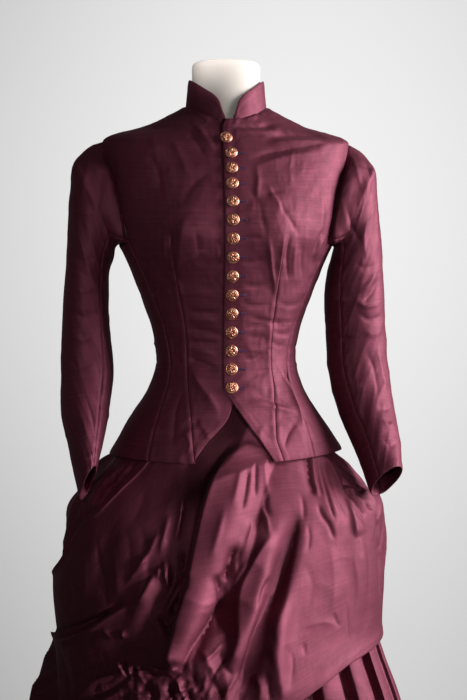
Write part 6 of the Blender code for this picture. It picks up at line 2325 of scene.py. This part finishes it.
@dataclass
class Buttons:
    """Fifteen domed buttons, stamped with a small rosette in a ring of beads.

    Attributes:
        metal: Their material.
        lap: The line that they are sewn on.
        cut: Their sizes and places.
        spokes: How many points a ring of a button has.
        shank: The radii of the rings behind a button's face, as shares of its own.
        behind: How far forward those rings lie, as shares of its depth.
        standoff: The gap between a button's back and the cloth.
    """

    metal: bpy.types.Material
    lap: Lap
    cut: ButtonCut
    spokes: int = 88
    shank: tuple[float, ...] = (0.30, 0.30, 0.62, 0.97, 1.0)
    behind: tuple[float, ...] = (0.0, 0.30, 0.31, 0.34, 0.40)
    standoff: float = 0.0004

    def build(self) -> None:
        """Make every button."""
        for number, z in enumerate(self.cut.heights(), start=1):
            middle, normal, up = self.lap.place(z)
            if number == 1:
                middle = middle + np.array((self.cut.top_shift, 0.0, 0.0))
            self.button(number, middle, normal, up)
        LOG.info("%d buttons", self.cut.count)

    def _stamped(self, r: Array, spin: Array, turn: float) -> Array:
        """How far forward a button's face lies, as a share of its depth.

        Args:
            r: Distances from its middle, as shares of its radius.
            spin: Angles round it, in radians.
            turn: How far the button is turned.
        Returns:
            The dome with its beads, groove, petals and eye.
        """
        dome = 0.42 + 0.58 * np.sqrt(np.clip(1.0 - r**2 * 0.98, 0.0, 1.0))
        beads = 0.12 * bump(r - 0.86, 0.055) * (0.5 + 0.5 * np.cos(spin * self.cut.beads))
        groove = -0.12 * bump(r - 0.74, 0.03)
        petals = 0.15 * np.cos(spin * 8.0 + turn) * bump(r - 0.40, 0.16)
        petals = petals + 0.08 * np.cos(spin * 16.0) * bump(r - 0.60, 0.08)
        eye = 0.12 * bump(r, 0.12) - 0.10 * bump(r - 0.17, 0.05)
        return dome + beads + groove + petals + eye

    def button(self, number: int, middle: Array, normal: Array, up: Array) -> None:
        """One button, turned a little, as each was sewn on by hand.

        Args:
            number: Its number, from the neck down.
            middle: Where it is sewn on.
            normal: The direction that it faces.
            up: The upward direction on the cloth.
        """
        turn = 0.7 * number
        radius = np.concatenate([self.shank, np.linspace(0.985, 0.02, 26)])
        spin = np.linspace(0.0, 2.0 * math.pi, self.spokes, endpoint=False)[None]
        r = radius[:, None]
        height = self._stamped(r, spin, turn)
        height[:len(self.behind)] = np.array(self.behind)[:, None]
        place = (
            middle
            + normal * self.standoff
            + self.cut.radius * (r * np.cos(spin + turn))[..., None] * np.cross(up, normal)
            + self.cut.radius * (r * np.sin(spin + turn))[..., None] * up
            + self.cut.depth * height[..., None] * normal
        )
        faces = lathe_faces(len(radius), self.spokes)
        made = smooth_mesh(f"stamped_button_{number:02d}", place.reshape(-1, 3), faces)
        if made.data.polygons[-1].normal.dot(normal.tolist()) < 0.0:
            made.data.flip_normals()
        made.data.materials.append(self.metal)
        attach(made, ROOT)
        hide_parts(f"button_{number:02d}")


@dataclass
class DressForm:
    """The padded form with its cream cover, and the stand's pole and round base.

    Attributes:
        cover: The cover's material.
        steel: The stand's material.
        form: The bodice that the form stands inside.
        hips: Rings of the form below the waist: height, half width, and depth in front and behind.
        neck: The neck's lowest and highest ring.
        rim: The rings that round off its flat top.
        blend: How many rings lead from the shoulders to the neck, and from there up.
        insets: How far inside the bodice the form lies.
        pole: The pole's profile, as radius and height, with the collar that clamps it over the base.
        base: The base's profile, with its rounded rim.
    """

    cover: bpy.types.Material
    steel: bpy.types.Material
    form: BodiceForm
    hips: tuple[tuple[float, ...], ...] = (
        (0.790, 0.1200, 0.0850, 0.0950),
        (0.803, 0.1430, 0.0970, 0.1170),
        (0.850, 0.1500, 0.1010, 0.1260),
        (0.900, 0.1400, 0.0990, 0.1120),
        (0.945, 0.1235, 0.0915, 0.0920),
        (0.975, 0.1125, 0.0870, 0.0770),
        (1.000, 0.1078, 0.0850, 0.0704),
    )
    neck: tuple[tuple[float, ...], ...] = ((1.462, 0.0555, 0.0500, 0.0500), (1.498, 0.0555, 0.0495, 0.0495))
    rim: tuple[tuple[float, ...], ...] = (
        (1.5025, 0.0550, 0.0490, 0.0490),
        (1.5055, 0.0535, 0.0476, 0.0476),
        (1.5074, 0.0510, 0.0452, 0.0452),
        (1.5080, 0.0470, 0.0415, 0.0415),
    )
    blend: int = 8
    insets: Table = Table(
        "level inset",
        (4.0, 0.0068), (4.9, 0.0054), (5.8, 0.0044), (9.0, 0.0044), (10.0, 0.0048), (10.5, 0.0072),
        (11.0, 0.0095), (11.6, 0.0065), (12.3, 0.0045), (13.0, 0.0032),
    )
    pole: tuple[Point, ...] = (
        (0.0150, 0.0120), (0.0150, 0.0125), (0.0160, 0.0135), (0.0160, 0.300), (0.0160, 0.500),
        (0.0160, 0.7895),
    )
    base: tuple[Point, ...] = (
        (0.1720, 0.0), (0.1742, 0.0006), (0.1750, 0.0030), (0.1746, 0.0070), (0.1730, 0.0100),
        (0.1710, 0.0118), (0.1690, 0.0120), (0.0300, 0.0120),
    )

    def build(self) -> None:
        """Make the form and its stand."""
        self._finish(self._torso(), self.cover, "form_cover", "form_torso")
        self._finish(self._turned("stand_pole", self.pole, 48), self.steel, "stand_metal", "form_pole")
        self._finish(self._turned("stand_base", self.base, 96), self.steel, "stand_metal", "form_base")

    @staticmethod
    def _oval(row: tuple[float, ...], turn: Array) -> Array:
        """A flat oval ring.

        Args:
            row: Its height, half width, and depth in front and behind.
            turn: The angles of its points.
        Returns:
            The points.
        """
        z, half_width, front, back = row
        across, forward = turned(turn)
        depth = np.where(forward > 0.0, front, back)
        return np.stack([half_width * across, -depth * forward, z + 0.0 * turn], axis=-1)

    def _torso(self) -> bpy.types.Object:
        """The form's body, from the hips to the flat top of its neck.

        Returns:
            The body.
        """
        turn = np.linspace(0.0, 360.0, 97)[:-1]
        level = np.linspace(4.0, 13.0, 60)[:, None]
        cloth = self.form.point(level, turn[None])
        body = cloth - normals_of(cloth, closed=True) * self.insets.at(level).inset[..., None]
        shares = [k / self.blend for k in range(1, self.blend + 1)]
        low, high = (np.array(row) for row in self.neck)
        rings = [self._oval(row, turn) for row in self.hips] + list(body)
        foot = self._oval(self.neck[0], turn)
        rings += [body[-1] * (1.0 - ease(share)) + foot * ease(share) for share in shares]
        rings += [self._oval(low + (high - low) * share, turn) for share in shares]
        rings += [self._oval(row, turn) for row in self.rim]
        return smooth_mesh("form_body", np.concatenate(rings), lathe_faces(len(rings), len(turn)))

    def _turned(self, name: str, profile: tuple[Point, ...], sides: int) -> bpy.types.Object:
        """A turned solid."""
        rings = [disc_ring(radius, z, sides) for radius, z in profile]
        return smooth_mesh(name, np.concatenate(rings), lathe_faces(len(rings), sides))

    @staticmethod
    def _finish(made: bpy.types.Object, material: bpy.types.Material, slot: str, node: str) -> None:
        """Give a piece its material and its body, and hide the solid that it stands for.

        Args:
            made: The piece.
            material: Its material.
            slot: The material's name in the frame; not used.
            node: The solid that it stands for.
        """
        made.data.materials.append(material)
        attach(made, ROOT)
        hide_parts(node)
        LOG.info("%s: %d faces", made.name, len(made.data.polygons))


# ---------------------------------------------------------------- the studio


@dataclass(frozen=True)
class Lamp:
    """A soft box, or a spot with a narrow cone: where it stands, its aim, its size and its power."""

    name: str
    place: tuple[float, float, float]
    aim: tuple[float, float, float]
    size: tuple[float, float]
    power: float
    cone: float = 0.0

    def build(self) -> None:
        """Set up the lamp."""
        light = bpy.data.lights.new(self.name, "SPOT" if self.cone else "AREA")
        if self.cone:
            light.spot_size, light.spot_blend = math.radians(self.cone), 0.9
            light.shadow_soft_size = self.size[0]
        else:
            light.shape, light.size, light.size_y = "RECTANGLE", *self.size
        light.energy = self.power
        made = bpy.data.objects.new(self.name, light)
        made.location = self.place
        look = np.array(self.aim) - np.array(self.place)
        made.rotation_euler = Vector(look.tolist()).to_track_quat("-Z", "Y").to_euler()
        bpy.context.scene.collection.objects.link(made)


@dataclass(frozen=True)
class Studio:
    """The pale floor, the light and the camera.

    Attributes:
        backdrop: The colour of the surround's own light.
        fill: How strongly it lights the dress.
        floor_colours: The floor's colour as a light's bounce meets it, and as the camera sees it.
        floor_radii: The floor's rings, the last well past where it fades into the surround.
        floor_sides: How many sides each ring has.
        azimuth: How far round the camera stands, in degrees.
        lens: Its focal length, in millimetres.
        lamps: The lamps.
    """

    backdrop: Colour = (0.72, 0.72, 0.72)
    fill: float = 0.075
    floor_colours: tuple[Colour, Colour] = ((0.18, 0.18, 0.18), (0.52, 0.52, 0.52))
    floor_radii: tuple[float, ...] = (0.001, 0.6, 1.2, 2.0, 3.0, 5.0, 9.0)
    floor_sides: int = 96
    azimuth: float = -5.0
    lens: float = 85.2
    lamps: tuple[Lamp, ...] = (
        Lamp("key", (2.62, -0.44, 1.82), (0.0, 0.0, 0.96), (1.6, 1.7), 136.0),
        Lamp("front", (-0.40, -2.75, 1.60), (-0.06, 0.0, 1.09), (0.35, 0.35), 140.0, cone=13.0),
        Lamp("skirt", (1.92, -1.72, 1.00), (-0.14, -0.19, 0.635), (0.15, 0.15), 280.0, cone=10.0),
        Lamp("fold", (0.95, -2.50, 0.92), (0.032, -0.15, 0.880), (0.05, 0.05), 150.0, cone=3.8),
        Lamp("hip", (1.15, -2.45, 1.35), (0.175, -0.15, 0.840), (0.08, 0.08), 110.0, cone=5.0),
        Lamp("neck", (-1.2, -1.9, 2.1), (0.0, 0.0, 1.525), (0.05, 0.05), 390.0, cone=3.4),
    )

    def build(self) -> None:
        """Set everything up."""
        self._world()
        self._floor()
        for lamp in self.lamps:
            lamp.build()
        self._camera()
        scene = bpy.context.scene
        scene.view_settings.view_transform = "Standard"
        scene.view_settings.look = "None"

    def _world(self) -> None:
        """A pale surround, its painted light brightest near the view's middle, that lights the dress only a
        little.
        """
        world = bpy.data.worlds.new("studio")
        bpy.context.scene.world = world
        world.use_nodes = True
        world.node_tree.nodes.clear()
        graph = Graph(world.node_tree)
        way = graph.add("ShaderNodeTexCoord").outputs["Generated"]
        split = graph.add("ShaderNodeSeparateXYZ", {0: way})
        falls = []
        for axis, middle, spread, drop in (("X", 0.13, -15.5, 0.52), ("Z", 0.08, -12.0, 0.38)):
            apart = graph.sum("ABSOLUTE", graph.sum("SUBTRACT", split.outputs[axis], middle))
            hump = graph.sum("EXPONENT", graph.sum("MULTIPLY", graph.sum("POWER", apart, 2.0), spread))
            falls.append(graph.sum("MULTIPLY", graph.sum("SUBTRACT", 1.0, hump), drop))
        # Painted light: as the camera sees it, the surround is brightest near the view's middle and darker
        # away from it, like a lit backdrop.
        light = graph.sum("SUBTRACT", 0.890, graph.sum("ADD", falls[0], falls[1]))
        seen = graph.add("ShaderNodeBackground", {"Color": light, "Strength": 1.0})
        cast = graph.add("ShaderNodeBackground", {"Color": rgba(self.backdrop), "Strength": self.fill})
        path = graph.add("ShaderNodeLightPath").outputs["Is Camera Ray"]
        mixed = graph.add("ShaderNodeMixShader", {0: path, 1: cast.outputs[0], 2: seen.outputs[0]})
        graph.add("ShaderNodeOutputWorld", {"Surface": mixed.outputs[0]})

    def _floor(self) -> None:
        """A wide round floor that turns into the surround at its edge."""
        rings = [disc_ring(radius, -0.0004, self.floor_sides) for radius in self.floor_radii]
        walls = lathe_faces(len(rings), self.floor_sides)[:-2]
        floor = smooth_mesh("floor", np.concatenate(rings), walls)
        material = bpy.data.materials.new("studio_floor")
        material.use_nodes = True
        material.node_tree.nodes.clear()
        graph = Graph(material.node_tree)
        place = graph.add("ShaderNodeTexCoord").outputs["Object"]
        reach = graph.add("ShaderNodeVectorMath", {0: place}, operation="LENGTH").outputs["Value"]
        ends = {0: reach, 1: 0.9, 2: 2.4, 3: 0.0, 4: 1.0}
        share = graph.add("ShaderNodeMapRange", ends, interpolation_type="SMOOTHSTEP").outputs[0]
        path = graph.add("ShaderNodeLightPath").outputs["Is Camera Ray"]
        colour = graph.mix(path, *(rgba(colour) for colour in self.floor_colours))
        paint = graph.add("ShaderNodeBsdfDiffuse", {"Color": colour})
        clear = graph.add("ShaderNodeBsdfTransparent")
        mixed = graph.add("ShaderNodeMixShader", {0: share, 1: paint.outputs[0], 2: clear.outputs[0]})
        graph.add("ShaderNodeOutputMaterial", {"Surface": mixed.outputs[0]})
        floor.data.materials.append(material)

    def _camera(self) -> None:
        """The camera, level with the waist and a little to the wearer's right."""
        lens = bpy.data.cameras.new("camera")
        lens.sensor_width, lens.lens = 36.0, self.lens
        lens.shift_x = (VIEW_SIZE[0] / 2.0 - VIEW_AXIS[0]) / VIEW_SIZE[1]
        turn = math.radians(self.azimuth)
        camera = bpy.data.objects.new("camera", lens)
        camera.location = (EYE_DISTANCE * math.sin(turn), -EYE_DISTANCE * math.cos(turn), EYE_HEIGHT)
        camera.rotation_euler = (math.pi / 2.0, 0.0, turn)
        bpy.context.scene.collection.objects.link(camera)
        bpy.context.scene.camera = camera


def main() -> None:
    """Dress the frame and light it."""
    logging.basicConfig(level=logging.INFO, format="%(name)s: %(message)s")
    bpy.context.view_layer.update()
    wardrobe = Wardrobe(Silk().material())
    bodice, skirt = BodiceForm(), SkirtForm()
    DressForm(Cover().material(), Steel().material(), bodice).build()
    Bodice(wardrobe, bodice).build()
    Sleeves(wardrobe, bodice).build()
    Skirt(wardrobe, skirt).build()
    Drapery(wardrobe, DraperyForm(skirt, bodice)).build()
    fasteners = ButtonCut()
    Buttons(Gilt().material(), Lap(bodice), fasteners).build()
    Buttonholes(bpy.data.objects["front_left"], Thread().material(), fasteners.heights()[1:]).build()
    Studio().build()


if __name__ == "__main__":
    main()
